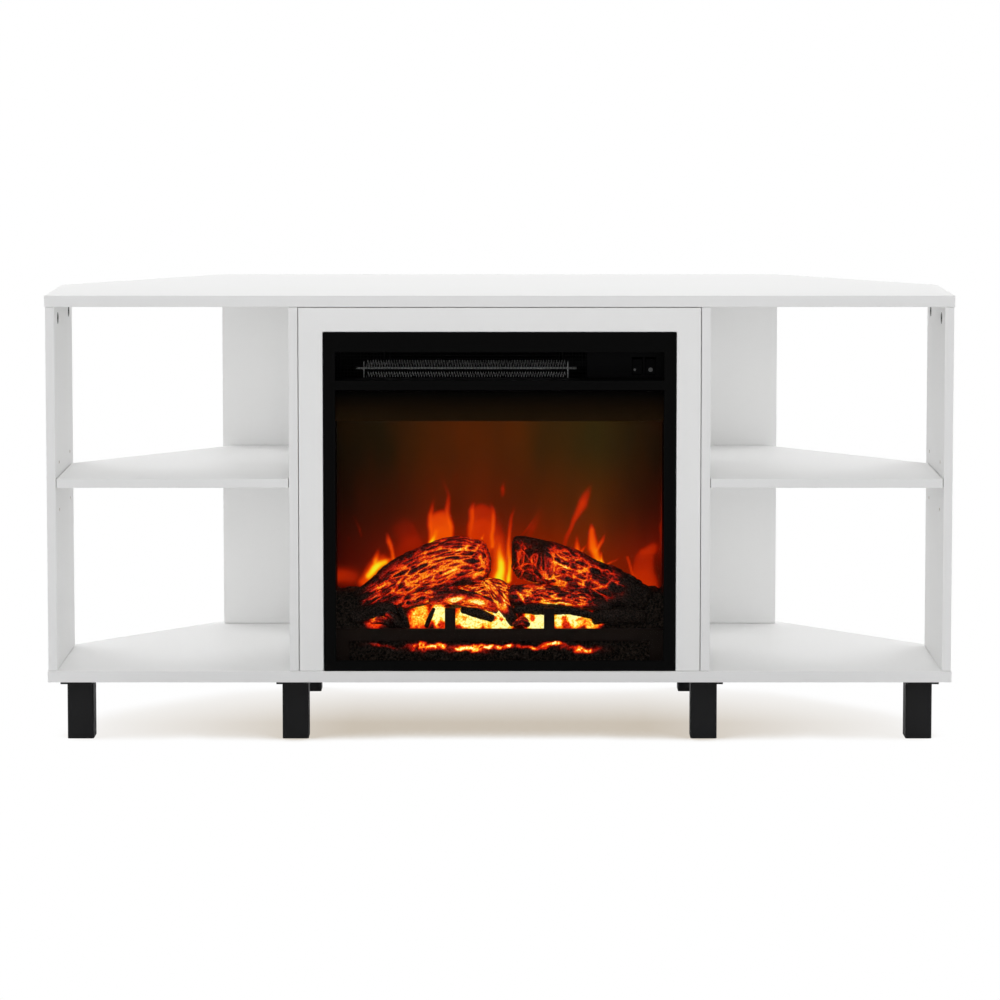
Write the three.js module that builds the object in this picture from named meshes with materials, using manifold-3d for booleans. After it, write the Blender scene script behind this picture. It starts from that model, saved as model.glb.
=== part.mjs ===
// Fireplace TV stand: a white cabinet with two open shelf bays and an electric fireplace between them.
// Millimetres, +X to the right, +Y to the back, +Z up. The origin is the middle of the footprint, on the floor.
// Inside the groups below, y counts from the front edge of the top panel towards the back.

import * as THREE from "three";
import { mergeVertices } from "three/addons/utils/BufferGeometryUtils.js";
import Module from "manifold-3d";

const wasm = await Module();
wasm.setup();

// Carcass
const WIDTH = 1200;
const DEPTH = 400;
const CORNER_CUT = 205; // the rear corners are cut off at 45 degrees over this length
const BOARD = 15; // top and bottom panel
const UPRIGHT = 12; // side panels and dividers
const BACK_BOARD = 12;
const BACK_INSET = 10; // back panels stand this far inside the rear edge
const FRONT_SETBACK = 1; // the uprights' front edges stand this far behind the top's edge
const SIDE_INSET = 1;
const SEAM = 0.3; // gap between pieces that touch

// Shelves and their hardware
const SHELF = 12;
const SHELF_RISE = 245; // from the bottom panel up to the shelf's underside
const SHELF_PLAY = 1; // clearance all round a shelf
const SHELF_CUT_SHIFT = 39; // the shelf's corner cut lies this far inside the panels' cut, along x
const PIN_RADIUS = 2.3;
const PIN_LENGTH = 16;
const PIN_CHAMFER = 0.5;
const PIN_HOLE_RADIUS = 2.5;
const PIN_HOLE_DEPTH = 8;
const PIN_ROW_PITCH = 32;
const HOLE_FRONT = 42; // front holes and cams behind the front edge
const SIDE_HOLE_REAR = 35; // rear ones in front of the side panel's rear edge
const DIVIDER_HOLE_REAR = 58;
const CAM_RADIUS = 7.5;
const CAM_THICKNESS = 9;
const CAM_DROP = 18; // from the top panel's underside to the cam's centre
const CAM_SLOT_LENGTH = 9;
const CAM_SLOT_WIDTH = 1.8;
const CAM_SLOT_DEPTH = 1.6;

// Legs
const LEG_HEIGHT = 80;
const LEG_TUBE = 35;
const LEG_CORNER_RADIUS = 3;
const LEG_PLATE = 2;
const LEG_PLATE_LUG = 7; // the plate is wider than the tube on its outer side only
const LEG_SETBACK = 23; // front face behind the front edge
const LEG_SIDE_INSET = 23; // outer face inside the cabinet's side
const REAR_LEG_INSET = 6; // rear face inside the rear edge

// Surround of the fireplace
const STILE_WIDTH = 32;
const RAIL_HEIGHT = 32;
const SURROUND_BOARD = 15;
const SURROUND_GAP = 1;

// Fireplace trim and window
const TRIM_WIDTH = 466;
const TRIM_GAP = 0.5;
const TRIM_SHEET = 3;
const TRIM_LIP_DEPTH = 11;
const TRIM_LIP = 1.5;
const SIDE_BORDER = 16;
const BOTTOM_BORDER = 14;
const WINDOW_HEIGHT = 360.5;
const BAND_HEIGHT = 12.7; // between the window and the outlet slot
const SLOT_HEIGHT = 37.5;
const TOP_BORDER = 26.5;
const LEDGE_DEPTH = 38;
const LEDGE_SHEET = 2.5;
const GLASS = 3;
const GLASS_OVERLAP = 6;

// Fireplace case
const CASE_INSET = 11; // the case is narrower than the trim by this much at each side
const CASE_SHEET = 1.5;
const CASE_TOP_DROP = 10; // case top below the top of the trim
const COVER_LIP = 12;
const CEILING_DROP = 14.7; // heater tray below the top of the ledge
const VALANCE_HEIGHT = 40;
const VALANCE_SETBACK = 4; // valance behind the case's front edge
const SCREEN_SETBACK = 112; // flame screen behind the case's front edge
const SCREEN = 2;
const EFFECT_DEPTH = 77; // from the flame screen to the back cover
const BRACKET_HEIGHT = 60;
const BRACKET_REACH = 34;
const BRACKET_RISE = 200;
const BRACKET_HOLE_RADIUS = 2.6;
const BRACKET_HOLE_INSET = 10;
const GLAND_FLANGE_RADIUS = 9;
const GLAND_BODY_RADIUS = 6;
const GLAND_BORE_RADIUS = 3.4;
const GLAND_INSIDE = 7;
const GLAND_OUTSIDE = 5;
const GLAND_FLANGE = 2;
const GLAND_RISE = 40;
const GLAND_INSET = 42; // from the case's right side
const LOUVRE_COUNT = 7;
const LOUVRE_LENGTH = 44;
const LOUVRE_HEIGHT = 4;
const LOUVRE_MARGIN = 26;
const LOUVRE_ROW_RISE = 28;
const INTAKE_COUNT = 14;
const INTAKE_LENGTH = 40;
const INTAKE_WIDTH = 6;

// Heater compartment
const GRILLE_SHEET = 1.2;
const GRILLE_MARGIN = 19.4; // from the window's left end to the mesh
const CONTROL_LENGTH = 104.3; // from the mesh to the window's right end
const GRILLE_BORDER = 3;
const GRILLE_PITCH = 8;
const GRILLE_WIRE = 1.1;
const PANEL_SHEET = 2;
const ROCKER_WIDTH = 13;
const ROCKER_HEIGHT = 21;
const ROCKER_THICKNESS = 8;
const ROCKER_DISH = 1.8;
const ROCKER_PLAY = 1.3; // above and below a rocker
const ROCKER_TILT = 10; // degrees each way from the middle
const ROCKER_INSETS = [33.7, 16.4]; // from the window's right end
const ROCKER_DROP = 22; // rocker axis below the top of the slot
const ELEMENT_LEFT_MARGIN = 6.2; // from the mesh's end to the element
const ELEMENT_RIGHT_MARGIN = 10.3;
const ELEMENT_BAR = 4.8;
const ELEMENT_DEPTH = 14;
const ELEMENT_SETBACK = 5; // behind the grille
const ELEMENT_RISE = 9.8; // bar centre above the top of the ledge
const ELEMENT_END = 11.7; // length of each moulded end block
const FIN_HEIGHT = 10;
const FIN_PITCH = 4;
const FIN_SHEET = 0.5;
const WHEEL_RADIUS = 22;
const WHEEL_LEFT_MARGIN = 47.6; // from the mesh's end to the wheel
const WHEEL_RIGHT_MARGIN = 32.7;
const WHEEL_BLADES = 18;
const WHEEL_DISC = 2;
const BLADE_LENGTH = 9;
const BLADE_SHEET = 0.9;
const WHEEL_SETBACK = 62; // wheel axis behind the grille
const SHAFT_RADIUS = 3;
const SHAFT_PLAY = 0.35;
const HOUSING_GAP = 4;
const HOUSING_SHEET = 1.2;
const HOUSING_FOOT = 1.8; // the end plates reach this far past the guide
const MOTOR_RADIUS = 20;
const MOTOR_LENGTH = 44;
const MOTOR_SHAFT_ENGAGED = 12;
const MOTOR_SADDLE_INSET = 8;

// Log set and flame effect
const BED_GAP = 3; // between the grate and the ember bed
const BED_FRONT_HEIGHT = 34;
const BED_REAR_HEIGHT = 70;
const BED_SLOPE_RUN = 40;
const BED_MOUND = 22; // the mounds at both ends rise this much higher
const MOUND_LENGTH = 100;
const MOUND_INSET = 30; // the mounds are full from here to the case's sides
const BED_LUMP = 3;
const BED_LUMP_LENGTH = 48;
const LOG_OUTER_HEIGHT = 77; // height of the log's centre above the case floor
const LOG_MIDDLE_HEIGHT = 105;
const LOG_INNER_HEIGHT = 131;
const LOG_OUTER_RADIUS = 17.5;
const LOG_INNER_RADIUS = 30.5;
const LOG_SIDES = 14;
const LOG_RINGS = 14;
const LOG_GAP = 0.8;
const GRATE_SETBACK = 15;
const GRATE_BAR_DEPTH = 6;
const GRATE_BAR_RISE = 33;
const GRATE_BAR_HEIGHT = 16;
const GRATE_POST_WIDTH = 14;
const GRATE_POST_HEIGHT = 28;
const GRATE_POST_X = 66;
const GRATE_FOOT = 20;
const ROTOR_RISE = 62;
const ROTOR_FLAGS = 11;
const ROTOR_FLAG_LENGTH = 22;
const ROTOR_FLAG_REACH = 20;
const ROTOR_FLAG_SHEET = 1;
const ROTOR_FLAG_TURN = 50; // degrees from one flag to the next
const ROTOR_SHAFT_RADIUS = 2.5;
const BEARING_RADIUS = 9;
const BEARING_LENGTH = 16;
const GEARMOTOR_RADIUS = 25;
const GEARMOTOR_LENGTH = 20;
const GEARMOTOR_EAR = 8;
const GEARMOTOR_EAR_WIDTH = 12;
const GEARMOTOR_EAR_SHEET = 2;
const LED_BOARD_MARGIN = 57; // from the window's end
const LED_BOARD_WIDTH = 14;
const LED_BOARD = 1.6;
const LED_COUNT = 10;
const LED_SIZE = 5;

// Heights and places that follow from the sizes above
const trimHeight = BOTTOM_BORDER + WINDOW_HEIGHT + BAND_HEIGHT + SLOT_HEIGHT + TOP_BORDER;
const innerHeight = SEAM + trimHeight + TRIM_GAP + RAIL_HEIGHT + SURROUND_GAP;
const floorTop = LEG_HEIGHT + BOARD;
const topUnderside = floorTop + innerHeight;
const sideInner = WIDTH / 2 - SIDE_INSET - UPRIGHT;
const dividerInner = TRIM_WIDTH / 2 + TRIM_GAP + STILE_WIDTH + SURROUND_GAP;
const dividerOuter = dividerInner + UPRIGHT;
const backFront = DEPTH - BACK_INSET - BACK_BOARD;
const uprightHeight = innerHeight - 2 * SEAM;
const shelfUnderside = floorTop + SHELF_RISE;
const pinRow = shelfUnderside - SEAM - PIN_RADIUS;
const camRow = topUnderside - CAM_DROP;
const windowTop = BOTTOM_BORDER + WINDOW_HEIGHT;
const slotBottom = windowTop + BAND_HEIGHT;
const slotTop = slotBottom + SLOT_HEIGHT;
const windowHalf = TRIM_WIDTH / 2 - SIDE_BORDER;
const caseFront = TRIM_SHEET + GLASS + 2 * SEAM;
const caseHalf = TRIM_WIDTH / 2 - CASE_INSET;
const caseInner = caseHalf - CASE_SHEET;
const caseDepth = SCREEN_SETBACK + SCREEN + EFFECT_DEPTH;
const caseBack = caseFront + caseDepth;
const caseTop = trimHeight - CASE_TOP_DROP;
const trayTop = slotBottom - CEILING_DROP;
const grilleFront = TRIM_SHEET + LEDGE_DEPTH + SEAM;
const screenFront = caseFront + SCREEN_SETBACK;
const meshLeft = windowHalf - GRILLE_MARGIN; // left end of the mesh, left of the centre line
const meshRight = windowHalf - CONTROL_LENGTH; // right end of the mesh, right of the centre line
const elementLeft = meshLeft - ELEMENT_LEFT_MARGIN;
const elementRight = meshRight - ELEMENT_RIGHT_MARGIN;
const wheelLeft = meshLeft - WHEEL_LEFT_MARGIN;
const wheelRight = meshRight - WHEEL_RIGHT_MARGIN;
const bedFront = GRATE_SETBACK + GRATE_BAR_DEPTH + BED_GAP;
const sideHoleDepths = [HOLE_FRONT, DEPTH - CORNER_CUT - SIDE_HOLE_REAR];
const dividerHoleDepths = [HOLE_FRONT, backFront - DIVIDER_HOLE_REAR];
const radians = THREE.MathUtils.degToRad;

// A three.js geometry as a solid that can be joined and cut.
function solid(geometry) {
  const bare = geometry.index ? geometry.toNonIndexed() : geometry.clone();
  bare.deleteAttribute("normal");
  bare.deleteAttribute("uv");
  const merged = mergeVertices(bare, 1e-4);
  return new wasm.Manifold(
    new wasm.Mesh({
      numProp: 3,
      vertProperties: merged.getAttribute("position").array,
      triVerts: new Uint32Array(merged.index.array),
    }),
  );
}

// A joined or cut solid as a three.js geometry.
function geometryOf(body) {
  const mesh = body.getMesh();
  const geometry = new THREE.BufferGeometry();
  geometry.setAttribute("position", new THREE.BufferAttribute(new Float32Array(mesh.vertProperties), 3));
  geometry.setIndex(new THREE.BufferAttribute(new Uint32Array(mesh.triVerts), 1));
  const flat = geometry.toNonIndexed();
  flat.computeVertexNormals();
  return flat;
}

function joined(geometries) {
  return geometries.map(solid).reduce((sum, next) => sum.add(next));
}

function cut(body, geometries) {
  return geometries.map(solid).reduce((rest, next) => rest.subtract(next), body);
}

// A box between two corners.
function block(x0, x1, y0, y1, z0, z1) {
  return new THREE.BoxGeometry(x1 - x0, y1 - y0, z1 - z0).translate((x0 + x1) / 2, (y0 + y1) / 2, (z0 + z1) / 2);
}

function outline(points) {
  return new THREE.Shape(points.map(([x, y]) => new THREE.Vector2(x, y)));
}

function rectangle(x0, x1, y0, y1) {
  return outline([[x0, y0], [x1, y0], [x1, y1], [x0, y1]]);
}

// An outline seen from above, raised by its thickness.
function board(shape, thickness) {
  return new THREE.ExtrudeGeometry(shape, { depth: thickness, bevelEnabled: false });
}

// An outline seen from the front (x, z), carried back from y = 0 by its thickness.
function facePlate(shape, thickness) {
  return board(shape, thickness).rotateX(Math.PI / 2).translate(0, thickness, 0);
}

// An outline seen from the right (y, z), carried along x from x0 to x1.
function bar(shape, x0, x1) {
  return board(shape, x1 - x0).rotateX(Math.PI / 2).rotateZ(Math.PI / 2).translate(x0, 0, 0);
}

// A round bar along z from 0 up.
function rod(radius, length, sides) {
  return new THREE.CylinderGeometry(radius, radius, length, sides).rotateX(Math.PI / 2).translate(0, 0, length / 2);
}

// A round bar along x from x0 to x1, with its axis at y, z.
function axle(radius, x0, x1, y, z, sides) {
  return rod(radius, x1 - x0, sides).rotateY(Math.PI / 2).translate(x0, y, z);
}

// A profile of [radius, height] points turned round z.
function turned(profile, sides) {
  const points = profile.map(([radius, height]) => new THREE.Vector2(radius, height));
  return new THREE.LatheGeometry(points, sides).rotateX(Math.PI / 2);
}

function paint(color, roughness, metalness = 0) {
  return new THREE.MeshStandardMaterial({ color, roughness, metalness });
}

const whiteLaminate = paint(0xe4e4e2, 0.55);
const whiteSurround = paint(0xe9e9e8, 0.5);
const blackSteel = paint(0x1d1d1e, 0.45, 0.3);
const blackTrim = paint(0x111112, 0.4, 0.2);
const zinc = paint(0xb4b4b0, 0.35, 0.9);
const steelPin = paint(0xa8a8a8, 0.35, 0.9);
const clearGlass = paint(0x8a8f90, 0.05);
const caseSteel = paint(0x26262a, 0.5, 0.4);
const meshSteel = paint(0x181818, 0.5, 0.5);
const aluminium = paint(0xb9bab8, 0.35, 0.9);
const blackPlastic = paint(0x141414, 0.4);
const screenAcrylic = paint(0x3a2410, 0.5);
const bark = paint(0x3a1408, 0.9);
const ember = paint(0xc8420c, 0.8);
const reflector = paint(0xd8d8d8, 0.15, 0.95);
const circuitGreen = paint(0x2b5d3a, 0.5);
const gearmotorGrey = paint(0x8c8f90, 0.5, 0.4);

function node(parent, name, shape, material, x = 0, y = 0, z = 0) {
  const geometry = shape.isBufferGeometry ? shape : geometryOf(shape);
  const mesh = new THREE.Mesh(geometry, material);
  mesh.name = name;
  mesh.position.set(x, y, z);
  parent.add(mesh);
  return mesh;
}

const stand = new THREE.Group();
const carcass = new THREE.Group();
carcass.position.y = -DEPTH / 2;
stand.add(carcass);
const SIDES = [["left", -1], ["right", 1]];

// Top and bottom panels share one outline: straight sides, then 45 degree rear corners.
const footprint = outline([
  [-WIDTH / 2, 0],
  [WIDTH / 2, 0],
  [WIDTH / 2, DEPTH - CORNER_CUT],
  [WIDTH / 2 - CORNER_CUT, DEPTH],
  [CORNER_CUT - WIDTH / 2, DEPTH],
  [-WIDTH / 2, DEPTH - CORNER_CUT],
]);
node(carcass, "bottom_panel", board(footprint, BOARD), whiteLaminate, 0, 0, LEG_HEIGHT);
node(carcass, "top_panel", board(footprint, BOARD), whiteLaminate, 0, 0, topUnderside);

// A round pocket from the panel's face at x = 0 into the panel, towards -x.
function pocket(radius, depth, y, z, sides) {
  return axle(radius, -depth, 1, y, z, sides);
}

function pinHoles(depths) {
  const rows = [pinRow - PIN_ROW_PITCH, pinRow, pinRow + PIN_ROW_PITCH];
  return depths.flatMap((y) => rows.map((z) => pocket(PIN_HOLE_RADIUS, PIN_HOLE_DEPTH, y, z, 12)));
}

function camPockets(depths) {
  return depths.map((y) => pocket(CAM_RADIUS + SEAM, CAM_THICKNESS + SEAM, y, camRow, 20));
}

// An upright whose drilled faces are at x = 0 and x = -UPRIGHT. It stands from the front edge to rear.
function upright(rear, holes) {
  const panel = block(-UPRIGHT, 0, FRONT_SETBACK, rear, floorTop + SEAM, floorTop + SEAM + uprightHeight);
  return cut(solid(panel), holes);
}

const mirrorX = (geometry) => geometry.rotateZ(Math.PI).translate(-UPRIGHT, 0, 0);

// The divider's shelf holes face the bay, and its cams face the fireplace.
function dividerHoles() {
  const towardsFireplace = camPockets(dividerHoleDepths.map((y) => -y)).map(mirrorX);
  return [...pinHoles(dividerHoleDepths), ...towardsFireplace];
}

// A left-hand solid drawn for the right side, with its faces turned to point out again.
function handed(body, side) {
  return side > 0 ? body : body.mirror([1, 0, 0]);
}

for (const [hand, side] of SIDES) {
  // The side panel's drilled face looks to the middle, so it is drawn as a left panel and mirrored.
  const sidePanel = upright(DEPTH - CORNER_CUT, [...pinHoles(sideHoleDepths), ...camPockets(sideHoleDepths)]);
  node(carcass, `${hand}_side_panel`, handed(sidePanel, -side), whiteLaminate, side * sideInner);
  const divider = upright(backFront - SEAM, dividerHoles());
  node(carcass, `${hand}_divider`, handed(divider, side), whiteLaminate, side * dividerOuter);

  const backOuter = WIDTH / 2 - CORNER_CUT;
  const backPanel = block(
    dividerInner, backOuter, backFront, backFront + BACK_BOARD, floorTop + SEAM, floorTop + SEAM + uprightHeight,
  );
  node(carcass, `${hand}_back_panel`, handed(solid(backPanel), side), whiteLaminate);

  const shelfRear = backFront - SHELF_PLAY;
  const shelfOuter = sideInner - SHELF_PLAY;
  const shelfInner = dividerOuter + SHELF_PLAY;
  const cutLine = WIDTH / 2 + DEPTH - CORNER_CUT - SHELF_CUT_SHIFT;
  const rearCorner = block(0, DEPTH, -DEPTH, DEPTH, -1, SHELF + 1);
  rearCorner.rotateZ(Math.PI / 4).translate(cutLine / 2, cutLine / 2, 0);
  const shelf = cut(solid(block(shelfInner, shelfOuter, FRONT_SETBACK, shelfRear, 0, SHELF)), [rearCorner]);
  node(carcass, `${hand}_shelf`, handed(shelf, side), whiteLaminate, 0, 0, shelfUnderside);
}

// Shelf pins: plain steel dowels with chamfered ends, half of each in its hole.
const pinProfile = [
  [0, 0],
  [PIN_RADIUS - PIN_CHAMFER, 0],
  [PIN_RADIUS, PIN_CHAMFER],
  [PIN_RADIUS, PIN_LENGTH - PIN_CHAMFER],
  [PIN_RADIUS - PIN_CHAMFER, PIN_LENGTH],
  [0, PIN_LENGTH],
];
const pinSolid = turned(pinProfile, 12).rotateY(Math.PI / 2).translate(SEAM - PIN_HOLE_DEPTH, 0, 0);
const PLACES = ["front", "rear"];

for (const [hand, side] of SIDES) {
  PLACES.forEach((place, i) => {
    const outer = node(carcass, `${hand}_${place}_side_pin`, pinSolid.clone(), steelPin);
    outer.position.set(side * sideInner, sideHoleDepths[i], pinRow);
    outer.rotation.z = side > 0 ? Math.PI : 0;
    const inner = node(carcass, `${hand}_${place}_divider_pin`, pinSolid.clone(), steelPin);
    inner.position.set(side * dividerOuter, dividerHoleDepths[i], pinRow);
    inner.rotation.z = side > 0 ? 0 : Math.PI;
  });
}

// Cam locks: a zinc drum with a cross slot in its face, flush in its pocket.
const camBody = cut(solid(rod(CAM_RADIUS, CAM_THICKNESS, 20)), [
  block(
    -CAM_SLOT_LENGTH / 2, CAM_SLOT_LENGTH / 2, -CAM_SLOT_WIDTH / 2, CAM_SLOT_WIDTH / 2,
    CAM_THICKNESS - CAM_SLOT_DEPTH, CAM_THICKNESS + 1,
  ),
  block(
    -CAM_SLOT_WIDTH / 2, CAM_SLOT_WIDTH / 2, -CAM_SLOT_LENGTH / 2, CAM_SLOT_LENGTH / 2,
    CAM_THICKNESS - CAM_SLOT_DEPTH, CAM_THICKNESS + 1,
  ),
]);
const camSolid = geometryOf(camBody).rotateY(Math.PI / 2).translate(-CAM_THICKNESS, 0, 0);

for (const [hand, side] of SIDES) {
  PLACES.forEach((place, i) => {
    const outer = node(carcass, `${hand}_${place}_side_cam`, camSolid.clone(), zinc);
    outer.position.set(side * sideInner, sideHoleDepths[i], camRow);
    outer.rotation.z = side > 0 ? Math.PI : 0;
    const inner = node(carcass, `${hand}_${place}_divider_cam`, camSolid.clone(), zinc);
    inner.position.set(side * dividerInner, dividerHoleDepths[i], camRow);
    inner.rotation.z = side > 0 ? Math.PI : 0;
  });
}

// Surround: one U-shaped frame round the fireplace, flush with the dividers.
const surroundOuter = dividerInner - SURROUND_GAP;
const surroundInner = TRIM_WIDTH / 2 + TRIM_GAP;
const surroundTop = innerHeight - SURROUND_GAP;
const surroundShape = outline([
  [-surroundOuter, SEAM],
  [-surroundInner, SEAM],
  [-surroundInner, surroundTop - RAIL_HEIGHT],
  [surroundInner, surroundTop - RAIL_HEIGHT],
  [surroundInner, SEAM],
  [surroundOuter, SEAM],
  [surroundOuter, surroundTop],
  [-surroundOuter, surroundTop],
]);
node(carcass, "surround_frame", facePlate(surroundShape, SURROUND_BOARD), whiteSurround, 0, FRONT_SETBACK, floorTop);

// Legs: square tube with rounded corners under a plate that is wider on the outer side.
function roundedSquare(size, radius) {
  const half = size / 2;
  const shape = new THREE.Shape();
  shape.moveTo(half, radius - half);
  shape.lineTo(half, half - radius);
  shape.absarc(half - radius, half - radius, radius, 0, Math.PI / 2);
  shape.lineTo(radius - half, half);
  shape.absarc(radius - half, half - radius, radius, Math.PI / 2, Math.PI);
  shape.lineTo(-half, radius - half);
  shape.absarc(radius - half, radius - half, radius, Math.PI, 1.5 * Math.PI);
  shape.lineTo(half - radius, -half);
  shape.absarc(half - radius, radius - half, radius, 1.5 * Math.PI, 2 * Math.PI);
  return shape;
}

function leg(name, side, x, y) {
  const postHeight = LEG_HEIGHT - SEAM - LEG_PLATE;
  const half = LEG_TUBE / 2;
  const post = new THREE.ExtrudeGeometry(roundedSquare(LEG_TUBE, LEG_CORNER_RADIUS), {
    depth: postHeight + LEG_PLATE / 2,
    bevelEnabled: false,
    curveSegments: 2,
  });
  const plate = block(-half, half + LEG_PLATE_LUG, -half, half, postHeight, postHeight + LEG_PLATE);
  node(carcass, name, handed(joined([post, plate]), side), blackSteel, side * x, y);
}

const legY = LEG_SETBACK + LEG_TUBE / 2;
const cornerLegX = WIDTH / 2 - LEG_SIDE_INSET - LEG_TUBE / 2;
const innerLegX = dividerInner + UPRIGHT / 2;
const rearLegY = DEPTH - REAR_LEG_INSET - LEG_TUBE / 2;

for (const [hand, side] of SIDES) {
  leg(`${hand}_corner_leg`, side, cornerLegX, legY);
  leg(`${hand}_front_leg`, side, innerLegX, legY);
  leg(`${hand}_rear_leg`, side, innerLegX, rearLegY);
}

// The fireplace stands on the bottom panel. Its heights count from its own underside.
const fireplace = new THREE.Group();
fireplace.position.z = floorTop + SEAM;
carcass.add(fireplace);

// Trim: a front sheet with the window and the outlet slot, a lip all round behind it, and the slot's ledge.
const trimHalf = TRIM_WIDTH / 2;
const trimShape = rectangle(-trimHalf, trimHalf, 0, trimHeight);
trimShape.holes.push(rectangle(-windowHalf, windowHalf, BOTTOM_BORDER, windowTop));
trimShape.holes.push(rectangle(-windowHalf, windowHalf, slotBottom, slotTop));
const lipShape = rectangle(-trimHalf, trimHalf, 0, trimHeight);
lipShape.holes.push(rectangle(TRIM_LIP - trimHalf, trimHalf - TRIM_LIP, TRIM_LIP, trimHeight - TRIM_LIP));
const trim = joined([
  facePlate(trimShape, TRIM_SHEET),
  facePlate(lipShape, TRIM_SHEET + TRIM_LIP_DEPTH),
  block(-windowHalf, windowHalf, 1, TRIM_SHEET + LEDGE_DEPTH, slotBottom - LEDGE_SHEET, slotBottom),
]);
node(fireplace, "front_frame", trim, blackTrim);

const glassShape = rectangle(
  -windowHalf - GLASS_OVERLAP, windowHalf + GLASS_OVERLAP, BOTTOM_BORDER - GLASS_OVERLAP, windowTop + GLASS_OVERLAP,
);
node(fireplace, "glass_pane", facePlate(glassShape, GLASS), clearGlass, 0, TRIM_SHEET + SEAM);

// Case: floor and sides bent from one sheet, with front flanges inside the trim's lip.
function channel(half, sheet, height) {
  return outline([
    [-half, 0],
    [half, 0],
    [half, height],
    [half - sheet, height],
    [half - sheet, sheet],
    [sheet - half, sheet],
    [sheet - half, height],
    [-half, height],
  ]);
}

const flangeHalf = trimHalf - TRIM_LIP - SEAM;
const wrapperRise = TRIM_LIP + SEAM;
const flangeShape = outline([
  [-flangeHalf, 0],
  [flangeHalf, 0],
  [flangeHalf, windowTop],
  [caseInner, windowTop],
  [caseInner, CASE_SHEET],
  [-caseInner, CASE_SHEET],
  [-caseInner, windowTop],
  [-flangeHalf, windowTop],
]);
const wrapper = joined([
  facePlate(channel(caseHalf, CASE_SHEET, caseTop - wrapperRise), caseDepth),
  facePlate(flangeShape, CASE_SHEET),
]);
node(fireplace, "insert_wrapper", wrapper, caseSteel, 0, caseFront, wrapperRise);
const caseFloor = wrapperRise + CASE_SHEET + SEAM;

// Top cover: a shallow lid over the sides, with a row of air intakes above the blower.
const lidHalf = caseHalf + SEAM + CASE_SHEET;
const lidTop = caseTop + SEAM + CASE_SHEET;
const lidFront = TRIM_SHEET + TRIM_LIP_DEPTH + SEAM;
const lidShape = outline([
  [-lidHalf, lidTop - COVER_LIP],
  [-lidHalf + CASE_SHEET, lidTop - COVER_LIP],
  [-lidHalf + CASE_SHEET, caseTop + SEAM],
  [lidHalf - CASE_SHEET, caseTop + SEAM],
  [lidHalf - CASE_SHEET, lidTop - COVER_LIP],
  [lidHalf, lidTop - COVER_LIP],
  [lidHalf, lidTop],
  [-lidHalf, lidTop],
]);
const intakeY = grilleFront + WHEEL_SETBACK + WHEEL_RADIUS;
const intakePitch = (wheelLeft + wheelRight) / INTAKE_COUNT;
const intakeX = (i) => (i + 0.5) * intakePitch - wheelLeft;
const intakes = Array.from({ length: INTAKE_COUNT }, (_, i) =>
  block(
    intakeX(i) - INTAKE_WIDTH / 2, intakeX(i) + INTAKE_WIDTH / 2, intakeY, intakeY + INTAKE_LENGTH, caseTop, lidTop + 1,
  ),
);
const lid = cut(solid(facePlate(lidShape, caseBack - lidFront).translate(0, lidFront, 0)), intakes);
node(fireplace, "insert_top_cover", lid, caseSteel);

// Back cover: a flat sheet with two rows of louvre slots and the hole for the cord gland.
const backShape = rectangle(-caseHalf, caseHalf, wrapperRise, caseTop);
const louvrePitch = (2 * caseHalf - 2 * LOUVRE_MARGIN) / LOUVRE_COUNT;
const louvreX = (i) => (i - (LOUVRE_COUNT - 1) / 2) * louvrePitch - LOUVRE_LENGTH / 2;
const louvreRows = [trayTop + LOUVRE_ROW_RISE, ROTOR_RISE + 2 * LOUVRE_ROW_RISE];
const louvres = louvreRows.flatMap((z) =>
  Array.from({ length: LOUVRE_COUNT }, (_, i) =>
    block(louvreX(i), louvreX(i) + LOUVRE_LENGTH, -1, CASE_SHEET + 1, z, z + LOUVRE_HEIGHT),
  ),
);
const glandHole = rod(GLAND_BODY_RADIUS + SEAM, 4 * CASE_SHEET, 16).rotateX(-Math.PI / 2);
glandHole.translate(caseHalf - GLAND_INSET, -CASE_SHEET, GLAND_RISE);
const backSheet = cut(solid(facePlate(backShape, CASE_SHEET)), [glandHole, ...louvres]);
node(fireplace, "insert_back_cover", backSheet, caseSteel, 0, caseBack + SEAM);

// Cord gland: a flanged bush with a clear bore, pushed into the back cover from behind.
const glandProfile = [
  [GLAND_BORE_RADIUS, -GLAND_INSIDE],
  [GLAND_BODY_RADIUS - 0.5, -GLAND_INSIDE],
  [GLAND_BODY_RADIUS - 0.5, 0],
  [GLAND_FLANGE_RADIUS, 0],
  [GLAND_FLANGE_RADIUS, GLAND_FLANGE],
  [GLAND_BODY_RADIUS, GLAND_OUTSIDE],
  [GLAND_BORE_RADIUS, GLAND_OUTSIDE],
  [GLAND_BORE_RADIUS, -GLAND_INSIDE],
];
const gland = turned(glandProfile, 12).rotateX(-Math.PI / 2);
const glandX = caseHalf - GLAND_INSET;
node(fireplace, "cord_gland", gland, blackPlastic, glandX, caseBack + 2 * SEAM + CASE_SHEET, GLAND_RISE);

// Mounting brackets: an angle with two screw holes, between the case's side and the back of the surround.
function angleBracket() {
  const rear = FRONT_SETBACK + SURROUND_BOARD + SEAM;
  const flat = CASE_SHEET;
  const angle = outline([
    [0, rear],
    [BRACKET_REACH, rear],
    [BRACKET_REACH, rear + flat],
    [flat, rear + flat],
    [flat, rear + BRACKET_REACH],
    [0, rear + BRACKET_REACH],
  ]);
  const holeX = BRACKET_REACH - BRACKET_HOLE_INSET;
  const screwHole = rod(BRACKET_HOLE_RADIUS, 4 * flat, 12).rotateX(-Math.PI / 2);
  const holes = [0.25, 0.75].map((share) => screwHole.clone().translate(holeX, rear - flat, share * BRACKET_HEIGHT));
  return cut(solid(board(angle, BRACKET_HEIGHT)), holes);
}

for (const [hand, side] of SIDES) {
  const x = side * (caseHalf + SEAM);
  node(fireplace, `${hand}_mount_bracket`, handed(angleBracket(), side), zinc, x, 0, BRACKET_RISE);
}

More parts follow.
